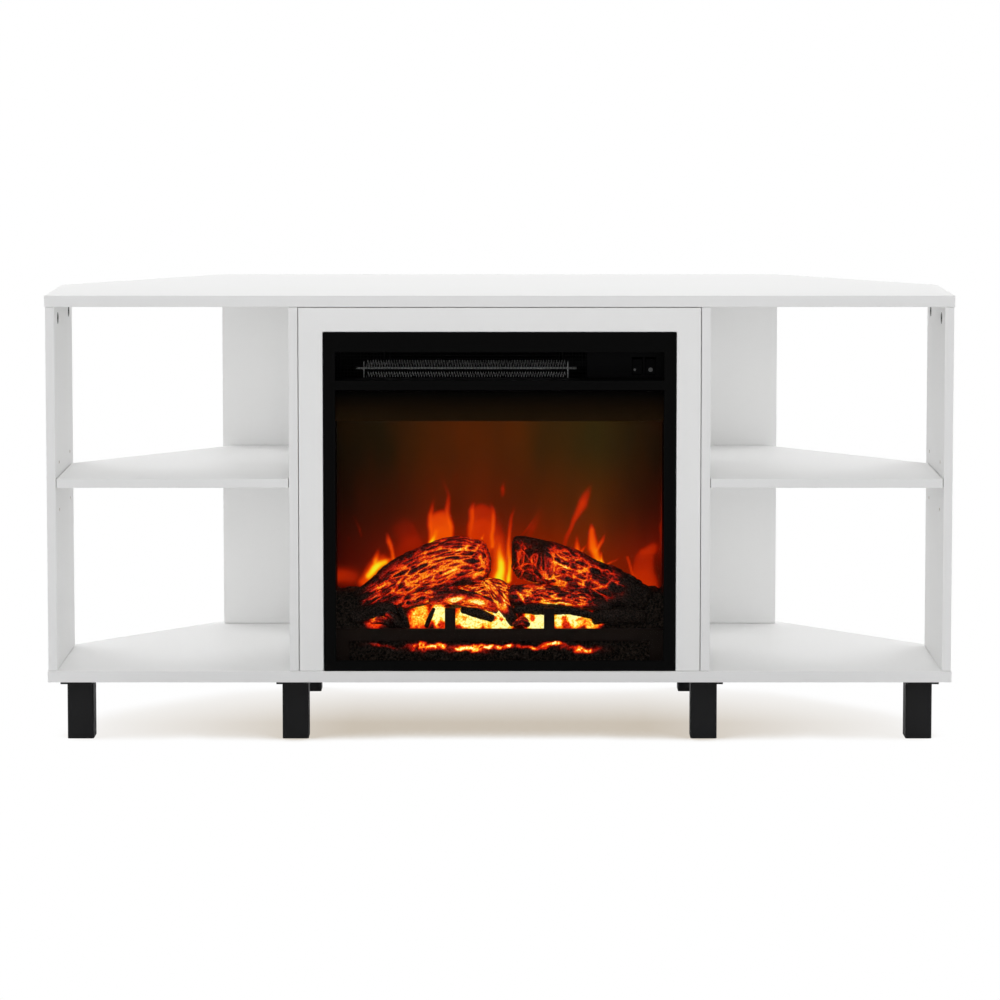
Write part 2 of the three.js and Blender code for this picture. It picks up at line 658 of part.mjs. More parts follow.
// Ceiling of the firebox: the heater tray, with the valance bent down in front and a rear lip.
const trayShape = outline([
  [VALANCE_SETBACK, trayTop - VALANCE_HEIGHT],
  [VALANCE_SETBACK + CASE_SHEET, trayTop - VALANCE_HEIGHT],
  [VALANCE_SETBACK + CASE_SHEET, trayTop - CASE_SHEET],
  [caseDepth - SEAM, trayTop - CASE_SHEET],
  [caseDepth - SEAM, trayTop + COVER_LIP],
  [caseDepth - SEAM - CASE_SHEET, trayTop + COVER_LIP],
  [caseDepth - SEAM - CASE_SHEET, trayTop],
  [VALANCE_SETBACK, trayTop],
]);
const trayHalf = caseInner - SEAM;
node(fireplace, "firebox_ceiling", bar(trayShape, -trayHalf, trayHalf), caseSteel, 0, caseFront);

// Outlet grille: a bordered sheet whose mesh is drawn here as upright wires between two rails.
const compartmentFloor = trayTop + SEAM;
const compartmentTop = caseTop;
const meshBottom = slotBottom - LEDGE_SHEET;
const meshTop = slotTop + GRILLE_BORDER;
const grilleShape = rectangle(-trayHalf, meshRight + GRILLE_BORDER, compartmentFloor, compartmentTop);
const wireCount = Math.floor((meshLeft + meshRight) / GRILLE_PITCH);
const wirePitch = (meshLeft + meshRight) / wireCount;
const meshGaps = Array.from({ length: wireCount }, (_, i) => {
  const left = -meshLeft + i * wirePitch + GRILLE_WIRE / 2;
  return block(left, left + wirePitch - GRILLE_WIRE, -1, GRILLE_SHEET + 1, meshBottom, meshTop);
});
const grille = cut(solid(facePlate(grilleShape, GRILLE_SHEET)), meshGaps);
node(fireplace, "outlet_grille", grille, meshSteel, 0, grilleFront);

// Control panel: a plate beside the grille, with a cut-out for each rocker.
const panelLeft = meshRight + GRILLE_BORDER + SEAM;
const rockerZ = slotTop - ROCKER_DROP;
const rockerHalf = ROCKER_HEIGHT / 2 + ROCKER_PLAY;
const panelPlate = facePlate(rectangle(panelLeft, trayHalf, compartmentFloor, compartmentTop), PANEL_SHEET);
const rockerXs = ROCKER_INSETS.map((inset) => windowHalf - inset);
const rockerHoles = rockerXs.map((x) => {
  const half = ROCKER_WIDTH / 2 + SEAM;
  return block(x - half, x + half, -1, PANEL_SHEET + 1, rockerZ - rockerHalf, rockerZ + rockerHalf);
});
node(fireplace, "control_panel", cut(solid(panelPlate), rockerHoles), blackPlastic, 0, grilleFront);

// Rockers: a dished face and a narrower back, tilted about their middle. Both rest in the off position.
const rockerShape = outline([
  [-ROCKER_THICKNESS / 2, -ROCKER_HEIGHT / 2],
  [ROCKER_THICKNESS / 2, -ROCKER_HEIGHT / 4],
  [ROCKER_THICKNESS / 2, ROCKER_HEIGHT / 4],
  [-ROCKER_THICKNESS / 2, ROCKER_HEIGHT / 2],
  [ROCKER_DISH - ROCKER_THICKNESS / 2, 0],
]);
const ROCKER_NAMES = ["power_rocker", "heat_rocker"];

ROCKER_NAMES.forEach((name, i) => {
  const rocker = node(fireplace, name, bar(rockerShape, -ROCKER_WIDTH / 2, ROCKER_WIDTH / 2), blackPlastic);
  rocker.position.set(rockerXs[i], grilleFront + PANEL_SHEET / 2, rockerZ);
  rocker.rotation.x = radians(ROCKER_TILT);
});

// Heating element: a flat bar between two corrugated fins, held by a moulded block at each end.
function corrugation(x0, x1, z0, z1) {
  const folds = Math.round((x1 - x0) / (FIN_PITCH / 2));
  const step = (x1 - x0) / folds;
  const upper = [];
  const lower = [];
  for (let i = 0; i <= folds; i += 1) {
    const x = x0 + i * step;
    const z = i % 2 === 0 ? z0 + FIN_SHEET : z1 - FIN_SHEET;
    upper.push([x, z + FIN_SHEET * (i % 2 === 0 ? 1.5 : 0.5)]);
    lower.push([x, z - FIN_SHEET * (i % 2 === 0 ? 0.5 : 1.5)]);
  }
  return facePlate(outline([...lower, ...upper.reverse()]), ELEMENT_DEPTH);
}

const finLeft = ELEMENT_END - elementLeft;
const finRight = elementRight - ELEMENT_END;
const barTop = ELEMENT_BAR / 2;
const elementZ = slotBottom + ELEMENT_RISE;
const endBlock = (x0, x1) =>
  block(x0, x1, -1, ELEMENT_DEPTH + 1, compartmentFloor - elementZ, barTop + FIN_HEIGHT + 1);
const element = joined([
  block(1 - elementLeft, elementRight - 1, 0, ELEMENT_DEPTH, -barTop, barTop),
  corrugation(finLeft - 1, finRight + 1, barTop + SEAM, barTop + FIN_HEIGHT),
  corrugation(finLeft - 1, finRight + 1, -barTop - FIN_HEIGHT, -barTop - SEAM),
  endBlock(-elementLeft, finLeft),
  endBlock(finRight, elementRight),
]);
const elementY = grilleFront + GRILLE_SHEET + ELEMENT_SETBACK;
node(fireplace, "heater_element", element, aluminium, 0, elementY, elementZ);

// Blower: a cross-flow wheel of forward-curved blades between end discs, on a shaft through the housing's ends.
const housingLeft = -wheelLeft - HOUSING_GAP - HOUSING_SHEET;
const housingRight = wheelRight + HOUSING_GAP + HOUSING_SHEET;

function blade(angle) {
  const tip = WHEEL_RADIUS - BLADE_SHEET;
  const root = WHEEL_RADIUS - BLADE_LENGTH;
  const middle = (tip + root) / 2;
  const curve = new THREE.QuadraticBezierCurve(
    new THREE.Vector2(root, 0),
    new THREE.Vector2(middle, BLADE_LENGTH / 5),
    new THREE.Vector2(tip, BLADE_LENGTH / 2),
  );
  const inner = curve.getPoints(3);
  const outer = inner.map((p) => new THREE.Vector2(p.x, p.y + BLADE_SHEET)).reverse();
  const shape = new THREE.Shape([...inner, ...outer]);
  return bar(shape, 1 - wheelLeft, wheelRight - 1).rotateX(angle);
}

const blades = Array.from({ length: WHEEL_BLADES }, (_, i) => blade((2 * Math.PI * i) / WHEEL_BLADES));
const wheel = joined([
  ...blades,
  axle(WHEEL_RADIUS, -wheelLeft, WHEEL_DISC - wheelLeft, 0, 0, 24),
  axle(WHEEL_RADIUS, wheelRight - WHEEL_DISC, wheelRight, 0, 0, 24),
  axle(SHAFT_RADIUS, housingLeft - 2, 1 - wheelLeft, 0, 0, 12),
  axle(SHAFT_RADIUS, wheelRight - 1, housingRight + SEAM + MOTOR_SHAFT_ENGAGED, 0, 0, 12),
]);
const wheelY = grilleFront + WHEEL_SETBACK;
const endReach = WHEEL_RADIUS + HOUSING_GAP + HOUSING_SHEET;
const wheelZ = compartmentFloor + endReach + HOUSING_FOOT;
node(fireplace, "blower_wheel", wheel, caseSteel, 0, wheelY, wheelZ);

// Housing: a curved guide behind and under the wheel, between two end plates that carry the shaft.
function guideShape() {
  const inner = WHEEL_RADIUS + HOUSING_GAP;
  const outer = inner + HOUSING_SHEET;
  const start = radians(-90);
  const end = radians(50);
  const shape = new THREE.Shape();
  shape.moveTo(-outer, -inner);
  shape.lineTo(-outer, -outer);
  shape.lineTo(0, -outer);
  shape.absarc(0, 0, outer, start, end, false);
  shape.absarc(0, 0, inner, end, start, true);
  return shape;
}

const guide = new THREE.ExtrudeGeometry(guideShape(), {
  depth: housingRight - housingLeft - HOUSING_SHEET,
  bevelEnabled: false,
  curveSegments: 14,
});
guide.rotateX(Math.PI / 2).rotateZ(Math.PI / 2).translate(housingLeft + HOUSING_SHEET / 2, 0, 0);
const endBottom = compartmentFloor - wheelZ;
const endPlate = (x) => block(x, x + HOUSING_SHEET, -endReach, endReach, endBottom, -endBottom);
const shaftHole = axle(SHAFT_RADIUS + SHAFT_PLAY, housingLeft - 1, housingRight + 1, 0, 0, 16);
const housing = cut(joined([guide, endPlate(housingLeft), endPlate(housingRight - HOUSING_SHEET)]), [shaftHole]);
node(fireplace, "blower_housing", housing, caseSteel, 0, wheelY, wheelZ);

// Blower motor: a round can on a saddle that stands on the heater tray.
const motorLeft = housingRight + SEAM;
const motorBody = joined([
  axle(MOTOR_RADIUS, motorLeft, motorLeft + MOTOR_LENGTH, 0, 0, 24),
  block(
    motorLeft + MOTOR_SADDLE_INSET / 2, motorLeft + MOTOR_LENGTH - MOTOR_SADDLE_INSET / 2,
    -MOTOR_RADIUS, MOTOR_RADIUS, endBottom, endBottom + HOUSING_SHEET,
  ),
  block(
    motorLeft + MOTOR_SADDLE_INSET, motorLeft + MOTOR_LENGTH - MOTOR_SADDLE_INSET,
    -MOTOR_RADIUS / 2, MOTOR_RADIUS / 2, endBottom, -MOTOR_RADIUS / 2,
  ),
]);
const motorBore = axle(SHAFT_RADIUS + SHAFT_PLAY, motorLeft - 1, motorLeft + MOTOR_SHAFT_ENGAGED + 2, 0, 0, 16);
node(fireplace, "blower_motor", cut(motorBody, [motorBore]), zinc, 0, wheelY, wheelZ);

// Flame screen: the translucent panel that the flames are thrown on.
const screenTop = trayTop - CASE_SHEET - SEAM;
const screen = facePlate(rectangle(-trayHalf, trayHalf, caseFloor, screenTop), SCREEN);
node(fireplace, "flame_screen", screen, screenAcrylic, 0, screenFront);

// Logs: each a tapered, slightly bent trunk over the middle of the bed, from its outer end to its inner end.
// The places are shares of half the window's width.
const LOGS = {
  left_log: { places: [-0.848, -0.507, -0.065], lean: 1 },
  right_log: { places: [0.866, 0.516, 0.055], lean: -1 },
};
const LOG_HEIGHTS = [LOG_OUTER_HEIGHT, LOG_MIDDLE_HEIGHT, LOG_INNER_HEIGHT];
const logY = (bedFront + SCREEN_SETBACK) / 2;

function logCurve(log) {
  const points = log.places.map((share, i) => new THREE.Vector3(share * windowHalf, logY, LOG_HEIGHTS[i]));
  return new THREE.QuadraticBezierCurve3(...points);
}

function logRadius(share) {
  return THREE.MathUtils.lerp(LOG_OUTER_RADIUS, LOG_INNER_RADIUS, Math.sqrt(share));
}

// Bark swells and knots of the trunk, as a factor on its radius.
function barkSwell(share, angle, lean) {
  const ribs = 0.05 * Math.sin(5 * angle + 4 * share * lean);
  const knots = 0.04 * Math.sin(9 * share + 2 * angle);
  return 1 + ribs + knots;
}

function logGeometry(log, growth = 0) {
  const curve = logCurve(log);
  const positions = [];
  const index = [];
  for (let ring = 0; ring <= LOG_RINGS; ring += 1) {
    const share = ring / LOG_RINGS;
    const centre = curve.getPoint(share);
    const along = curve.getTangent(share);
    const across = new THREE.Vector3(0, 1, 0).cross(along).normalize();
    const up = along.clone().cross(across);
    for (let k = 0; k < LOG_SIDES; k += 1) {
      const angle = (2 * Math.PI * k) / LOG_SIDES;
      const radius = growth + logRadius(share) * barkSwell(share, angle, log.lean);
      const point = centre.clone();
      point.addScaledVector(across, radius * Math.cos(angle)).addScaledVector(up, radius * Math.sin(angle));
      positions.push(point.x, point.y, point.z);
    }
  }
  const first = curve.getPoint(0);
  const last = curve.getPoint(1);
  positions.push(first.x, first.y, first.z, last.x, last.y, last.z);
  const startCap = (LOG_RINGS + 1) * LOG_SIDES;
  for (let k = 0; k < LOG_SIDES; k += 1) {
    const next = (k + 1) % LOG_SIDES;
    for (let ring = 0; ring < LOG_RINGS; ring += 1) {
      const a = ring * LOG_SIDES + k;
      const b = ring * LOG_SIDES + next;
      index.push(a, b, b + LOG_SIDES, a, b + LOG_SIDES, a + LOG_SIDES);
    }
    const end = LOG_RINGS * LOG_SIDES;
    index.push(startCap, next, k, startCap + 1, end + k, end + next);
  }
  const geometry = new THREE.BufferGeometry();
  geometry.setAttribute("position", new THREE.Float32BufferAttribute(positions, 3));
  geometry.setIndex(index);
  return geometry;
}

for (const [name, log] of Object.entries(LOGS)) {
  node(fireplace, name, logGeometry(log), bark, 0, caseFront, caseFloor);
}

// The lowest height above (x, y) that a log leaves free, so that the bed meets the log from below.
function logUnderside(x, y) {
  let lowest = Infinity;
  for (const log of Object.values(LOGS)) {
    const curve = logCurve(log);
    for (let step = 0; step <= 60; step += 1) {
      const share = step / 60;
      const centre = curve.getPoint(share);
      const radius = 1.09 * logRadius(share);
      const away = Math.hypot(x - centre.x, y - centre.y);
      if (away < radius) lowest = Math.min(lowest, centre.z - Math.sqrt(radius * radius - away * away));
    }
  }
  return lowest - LOG_GAP;
}

// Ember bed: low in front, with a mound of ash and charred wood at each side that carries the logs.
function bedHeight(x, y) {
  const rise = THREE.MathUtils.smoothstep(y, bedFront, bedFront + BED_SLOPE_RUN);
  const moundEnd = trayHalf - MOUND_INSET;
  const mound = THREE.MathUtils.smoothstep(Math.abs(x), moundEnd - MOUND_LENGTH, moundEnd);
  const turn = (2 * Math.PI) / BED_LUMP_LENGTH;
  const lumps = Math.sin(x * turn) * Math.cos(1.6 * y * turn) + Math.sin((0.55 * x + 2.3 * y) * turn);
  const height = THREE.MathUtils.lerp(BED_FRONT_HEIGHT, BED_REAR_HEIGHT, rise) + BED_MOUND * mound + BED_LUMP * lumps;
  return Math.min(height, logUnderside(x, y));
}

function bedGeometry() {
  const columns = 40;
  const rows = 8;
  const rear = screenFront - caseFront - SEAM;
  const positions = [];
  const index = [];
  for (let j = 0; j <= rows; j += 1) {
    for (let i = 0; i <= columns; i += 1) {
      const x = THREE.MathUtils.lerp(-trayHalf, trayHalf, i / columns);
      const y = THREE.MathUtils.lerp(bedFront, rear, j / rows);
      positions.push(x, y, 0, x, y, bedHeight(x, y));
    }
  }
  const at = (i, j, top) => 2 * (j * (columns + 1) + i) + top;
  const quad = (a, b, c, d) => index.push(a, b, c, a, c, d);
  for (let j = 0; j < rows; j += 1) {
    for (let i = 0; i < columns; i += 1) {
      quad(at(i, j, 1), at(i + 1, j, 1), at(i + 1, j + 1, 1), at(i, j + 1, 1));
      quad(at(i, j + 1, 0), at(i + 1, j + 1, 0), at(i + 1, j, 0), at(i, j, 0));
    }
    quad(at(0, j + 1, 0), at(0, j, 0), at(0, j, 1), at(0, j + 1, 1));
    quad(at(columns, j, 0), at(columns, j + 1, 0), at(columns, j + 1, 1), at(columns, j, 1));
  }
  for (let i = 0; i < columns; i += 1) {
    quad(at(i, 0, 0), at(i + 1, 0, 0), at(i + 1, 0, 1), at(i, 0, 1));
    quad(at(i + 1, rows, 0), at(i, rows, 0), at(i, rows, 1), at(i + 1, rows, 1));
  }
  const geometry = new THREE.BufferGeometry();
  geometry.setAttribute("position", new THREE.Float32BufferAttribute(positions, 3));
  geometry.setIndex(index);
  return geometry;
}

const logSeats = Object.values(LOGS).map((log) => logGeometry(log, LOG_GAP));
node(fireplace, "ember_bed", cut(solid(bedGeometry()), logSeats), ember, 0, caseFront, caseFloor);

// Grate: a front bar on end feet, with two posts that stand in front of the embers.
const grateShape = outline([
  [-trayHalf, 0],
  [GRATE_FOOT - trayHalf, 0],
  [GRATE_FOOT - trayHalf, GRATE_BAR_RISE],
  [trayHalf - GRATE_FOOT, GRATE_BAR_RISE],
  [trayHalf - GRATE_FOOT, 0],
  [trayHalf, 0],
  [trayHalf, GRATE_BAR_RISE + GRATE_BAR_HEIGHT],
  [GRATE_POST_X + GRATE_POST_WIDTH / 2, GRATE_BAR_RISE + GRATE_BAR_HEIGHT],
  [GRATE_POST_X + GRATE_POST_WIDTH / 2, GRATE_BAR_RISE + GRATE_BAR_HEIGHT + GRATE_POST_HEIGHT],
  [GRATE_POST_X - GRATE_POST_WIDTH / 2, GRATE_BAR_RISE + GRATE_BAR_HEIGHT + GRATE_POST_HEIGHT],
  [GRATE_POST_X - GRATE_POST_WIDTH / 2, GRATE_BAR_RISE + GRATE_BAR_HEIGHT],
  [GRATE_POST_WIDTH / 2 - GRATE_POST_X, GRATE_BAR_RISE + GRATE_BAR_HEIGHT],
  [GRATE_POST_WIDTH / 2 - GRATE_POST_X, GRATE_BAR_RISE + GRATE_BAR_HEIGHT + GRATE_POST_HEIGHT],
  [-GRATE_POST_WIDTH / 2 - GRATE_POST_X, GRATE_BAR_RISE + GRATE_BAR_HEIGHT + GRATE_POST_HEIGHT],
  [-GRATE_POST_WIDTH / 2 - GRATE_POST_X, GRATE_BAR_RISE + GRATE_BAR_HEIGHT],
  [-trayHalf, GRATE_BAR_RISE + GRATE_BAR_HEIGHT],
]);
const grateY = caseFront + GRATE_SETBACK;
node(fireplace, "grate", facePlate(grateShape, GRATE_BAR_DEPTH), blackPlastic, 0, grateY, caseFloor);

// Flame rotor: a shaft with pairs of thin reflecting flags, each turned on from the last.
const rotorY = screenFront + SCREEN + EFFECT_DEPTH / 2;
const rotorRight = caseInner - SEAM - GEARMOTOR_LENGTH - SEAM;
const bearingRight = BEARING_LENGTH + SEAM - caseInner;
const flagSpan = rotorRight - bearingRight - 2 * BEARING_LENGTH;
const flagPitch = flagSpan / ROTOR_FLAGS;

function flagPair(i) {
  const x = bearingRight + BEARING_LENGTH + (i + 0.5) * flagPitch;
  const sheet = block(
    x - ROTOR_FLAG_LENGTH / 2, x + ROTOR_FLAG_LENGTH / 2,
    -ROTOR_FLAG_REACH, ROTOR_FLAG_REACH, -ROTOR_FLAG_SHEET / 2, ROTOR_FLAG_SHEET / 2,
  );
  return sheet.rotateX(radians(i * ROTOR_FLAG_TURN));
}

const rotor = joined([
  axle(ROTOR_SHAFT_RADIUS, bearingRight - BEARING_LENGTH / 2, rotorRight + GEARMOTOR_LENGTH / 2, 0, 0, 10),
  ...Array.from({ length: ROTOR_FLAGS }, (_, i) => flagPair(i)),
]);
node(fireplace, "flame_rotor", rotor, reflector, 0, rotorY, ROTOR_RISE);

const bearing = cut(solid(axle(BEARING_RADIUS, SEAM - caseInner, bearingRight, 0, 0, 16)), [
  axle(ROTOR_SHAFT_RADIUS + SHAFT_PLAY, bearingRight - BEARING_LENGTH / 2 - 2, bearingRight + 1, 0, 0, 16),
]);
node(fireplace, "rotor_bearing", bearing, blackPlastic, 0, rotorY, ROTOR_RISE);

const gearmotorLeft = rotorRight + SEAM;
const gearmotorRight = gearmotorLeft + GEARMOTOR_LENGTH;
const earReach = GEARMOTOR_RADIUS + GEARMOTOR_EAR;
const gearmotor = cut(
  joined([
    axle(GEARMOTOR_RADIUS, gearmotorLeft, gearmotorRight - SEAM, 0, 0, 24),
    block(
      gearmotorRight - GEARMOTOR_EAR_SHEET - SEAM, gearmotorRight - SEAM,
      -GEARMOTOR_EAR_WIDTH / 2, GEARMOTOR_EAR_WIDTH / 2, -earReach, earReach,
    ),
  ]),
  [axle(ROTOR_SHAFT_RADIUS + SHAFT_PLAY, gearmotorLeft - 1, gearmotorLeft + GEARMOTOR_LENGTH / 2 + 2, 0, 0, 16)],
);
node(fireplace, "rotor_motor", gearmotor, gearmotorGrey, 0, rotorY, ROTOR_RISE);

// Lamp board: a strip of lamps on the case floor, right behind the flame screen.
const boardHalf = windowHalf - LED_BOARD_MARGIN;
const lampPitch = (2 * boardHalf) / LED_COUNT;
const lamp = (i) => {
  const x = (i + 0.5) * lampPitch - boardHalf;
  return block(
    x - LED_SIZE / 2, x + LED_SIZE / 2, -LED_SIZE / 2, LED_SIZE / 2, LED_BOARD / 2, LED_BOARD + LED_SIZE / 2,
  );
};
const lampBoard = joined([
  block(-boardHalf, boardHalf, -LED_BOARD_WIDTH / 2, LED_BOARD_WIDTH / 2, 0, LED_BOARD),
  ...Array.from({ length: LED_COUNT }, (_, i) => lamp(i)),
]);
node(fireplace, "led_board", lampBoard, circuitGreen, 0, screenFront + SCREEN + LED_BOARD_WIDTH, caseFloor);

export default stand;
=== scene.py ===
"""Looks of the fireplace TV stand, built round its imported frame.

The object's own lengths are written in millimetres, in the frame's directions:
x to the right, y to the back, z up from the floor. Meshes are made in metres.
"""

import logging
import math
from dataclasses import dataclass, field
from enum import Enum
from functools import lru_cache
from itertools import product
from typing import Iterable, Optional, Sequence

import bmesh
import bpy
import numpy as np
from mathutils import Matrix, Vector


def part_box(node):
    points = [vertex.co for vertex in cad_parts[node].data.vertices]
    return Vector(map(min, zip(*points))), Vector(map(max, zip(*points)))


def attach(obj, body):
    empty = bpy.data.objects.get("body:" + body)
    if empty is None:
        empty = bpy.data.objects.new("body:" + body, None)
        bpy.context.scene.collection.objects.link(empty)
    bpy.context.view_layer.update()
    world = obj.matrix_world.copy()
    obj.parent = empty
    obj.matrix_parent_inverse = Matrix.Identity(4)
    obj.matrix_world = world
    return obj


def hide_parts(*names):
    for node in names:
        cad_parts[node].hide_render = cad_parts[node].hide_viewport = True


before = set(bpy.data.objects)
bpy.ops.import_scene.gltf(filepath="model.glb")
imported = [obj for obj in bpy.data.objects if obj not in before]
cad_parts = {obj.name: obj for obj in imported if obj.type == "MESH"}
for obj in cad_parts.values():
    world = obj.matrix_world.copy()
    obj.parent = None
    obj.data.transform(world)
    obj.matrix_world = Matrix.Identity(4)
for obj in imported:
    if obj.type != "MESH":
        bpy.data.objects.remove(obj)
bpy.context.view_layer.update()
log = logging.getLogger("stand")

Array = np.ndarray
Material = bpy.types.Material
Node = bpy.types.Node
Socket = bpy.types.NodeSocket
Tree = bpy.types.NodeTree
Faces = list[tuple[int, ...]]
Place = Sequence[float]
Stops = Sequence[tuple[float, str]]
Pair = tuple[float, float]
Triple = tuple[float, float, float]

MM = 0.001
BOTH = ("left", "right")
BORED_HEIGHTS = (110.0, 572.0)  # the uprights' drilled holes lie between these
SIDE_BORED_DEPTHS = (-170.0, -25.0)
DIVIDER_BORED_DEPTHS = (-170.0, 140.0)


class Body(str, Enum):
    """The CAD bodies that new pieces ride on."""

    ROOT = "root"
    POWER_SWITCH = "power_switch"
    HEAT_SWITCH = "heat_switch"


class Slot(str, Enum):
    """The record's material slots."""

    MESH_STEEL = "mesh_steel"
    HEATER = "heater_aluminium"
    PLASTIC = "black_plastic"
    BARK = "resin_bark"
    EMBERS = "resin_embers"
    SCREEN = "screen_acrylic"
    ZINC = "zinc"
    CASE = "case_steel"
    LEG = "black_steel"


class EdgeFaces(Enum):
    """Which faces of a board carry its edge banding, as the axis of the faces that don't."""

    ROUND_A_FLAT_BOARD = "Z"
    ROUND_AN_UPRIGHT = "X"
    NONE = ""


# Colour, nodes and patterns


def levels(colour: str) -> list[int]:
    """Splits an sRGB hex colour into red, green and blue levels from 0 to 255."""
    return [int(colour[i : i + 2], 16) for i in (1, 3, 5)]


def linear(colour: str) -> tuple[float, float, float, float]:
    """Turns an sRGB hex colour into linear light.

    Args:
        colour: Six hex digits after a hash sign.

    Returns:
        Red, green, blue and an alpha of 1.
    """
    parts = [level / 255 for level in levels(colour)]
    red, green, blue = [p / 12.92 if p <= 0.04045 else ((p + 0.055) / 1.055) ** 2.4 for p in parts]
    return red, green, blue, 1.0


def feed(node: Node, inputs: dict) -> None:
    """Sets a node's inputs.

    Args:
        node: The node.
        inputs: For each input, by name or place, a value, a socket, or a node whose first output is meant.
    """
    for key, value in inputs.items():
        if isinstance(value, Node):
            value = next(output for output in value.outputs if output.enabled)
        if isinstance(value, Socket):
            node.id_data.links.new(value, node.inputs[key])
        else:
            node.inputs[key].default_value = value


def add(
    tree: Tree, kind: str, inputs: Optional[dict] = None, stops: Stops = (), **settings: object
) -> Node:
    """Adds a node with its settings, values and links.

    Args:
        tree: The node tree.
        kind: The node's type name.
        inputs: What its inputs take, as for feed.
        stops: Places and hex colours of a colour ramp.
        settings: The node's own properties.

    Returns:
        The new node.
    """
    node = tree.nodes.new(kind)
    for name, value in settings.items():
        setattr(node, name, value)
    for place, colour in stops[2:]:
        node.color_ramp.elements.new(place)
    for element, (place, colour) in zip(node.color_ramp.elements if stops else (), stops):
        element.position, element.color = place, linear(colour)
    feed(node, inputs or {})
    return node


def fresh_tree(owner: bpy.types.ID) -> Tree:
    """Gives a material or a world an empty node tree.

    Args:
        owner: The material or world.

    Returns:
        Its tree.
    """
    owner.use_nodes = True
    owner.node_tree.nodes.clear()
    return owner.node_tree


def seen_rays(tree: Tree) -> Node:
    """Tells rays that show a thing to the camera, also through glass, from those that only light it.

    Args:
        tree: The node tree.

    Returns:
        A node that gives 1 to the first and 0 to the others.
    """
    rays = add(tree, "ShaderNodeLightPath").outputs
    shown = {0: rays["Is Camera Ray"], 1: rays["Is Transmission Ray"]}
    return add(tree, "ShaderNodeMath", shown, operation="MAXIMUM")


def per_metre(size_mm: float) -> float:
    """Gives a texture's scale for features of a real size in millimetres."""
    return 1000 / size_mm


def smoothstep(low: float, high: float, value: Array) -> Array:
    """Rises smoothly from 0 at low to 1 at high."""
    share = np.clip((value - low) / (high - low), 0, 1)
    return share * share * (3 - 2 * share)


def close_to(distance: Array, width: float) -> Array:
    """Gives 1 at no distance, and less than a half from the width on."""
    return np.exp(-((distance / width) ** 2))


def side_by_side(*columns: Array) -> Array:
    """Makes one row of numbers for each point from its separate coordinates."""
    return np.stack(columns, axis=-1).reshape(-1, len(columns))


@dataclass(frozen=True)
class ValueNoise:
    """Smooth noise from 0 to 1, the same on each run.

    Attributes:
        seed: Seed of the lattice.
        size: Length of the largest features.
        octaves: How many finer layers are summed.
        lattice: After how many steps the lattice repeats.
        shift: How far each layer's lattice is moved on.
        finer: How much finer each layer is.
    """

    seed: int
    size: float
    octaves: int = 3
    lattice: int = 32
    shift: float = 7.3
    finer: float = 2.1

    def __call__(self, points: Array) -> Array:
        """Evaluates the noise.

        Args:
            points: Points, one row each.

        Returns:
            One value for each point.
        """
        table = np.random.default_rng(self.seed).random((self.lattice,) * 3)
        total, weight, size = np.zeros(len(points)), 0.0, self.size
        for octave in range(self.octaves):
            scaled = points / size + self.shift * octave
            base = np.floor(scaled).astype(int)
            part = scaled - base
            part = part * part * (3 - 2 * part)
            value = np.zeros(len(points))
            for corner in product((0, 1), repeat=3):
                near = np.where(corner, part, 1 - part).prod(axis=1)
                index = (base + corner) % self.lattice
                value += near * table[index[:, 0], index[:, 1], index[:, 2]]
            total += value * 0.5**octave
            weight += 0.5**octave
            size /= self.finer
        return total / weight


@dataclass(frozen=True)
class Cells:
    """Irregular cells in space, such as the plates of charred bark.

    Attributes:
        seed: Seed of the cells' centres.
        size: Mean cell length along each axis.
        lattice: After how many cells they repeat.
    """

    seed: int
    size: Triple
    lattice: int = 16

    def __call__(self, points: Array) -> tuple[Array, Array]:
        """Finds each point's cell.

        Args:
            points: Points, one row each.

        Returns:
            How far each point is from its cell's border, from 0 up, and a tone from 0 to 1 for its cell.
        """
        table = np.random.default_rng(self.seed).random((self.lattice,) * 3 + (4,))
        scaled = points / np.array(self.size)
        base = np.floor(scaled).astype(int)
        first = np.full(len(points), np.inf)
        second, tone = first.copy(), np.zeros(len(points))
        for offset in product((-1, 0, 1), repeat=3):
            cell = base + offset
            index = cell % self.lattice
            draw = table[index[:, 0], index[:, 1], index[:, 2]]
            away = np.linalg.norm(cell + draw[:, :3] - scaled, axis=1)
            nearer = away < first
            second = np.where(nearer, first, np.minimum(second, away))
            tone = np.where(nearer, draw[:, 3], tone)
            first = np.where(nearer, away, first)
        return second - first, tone


# Finishes


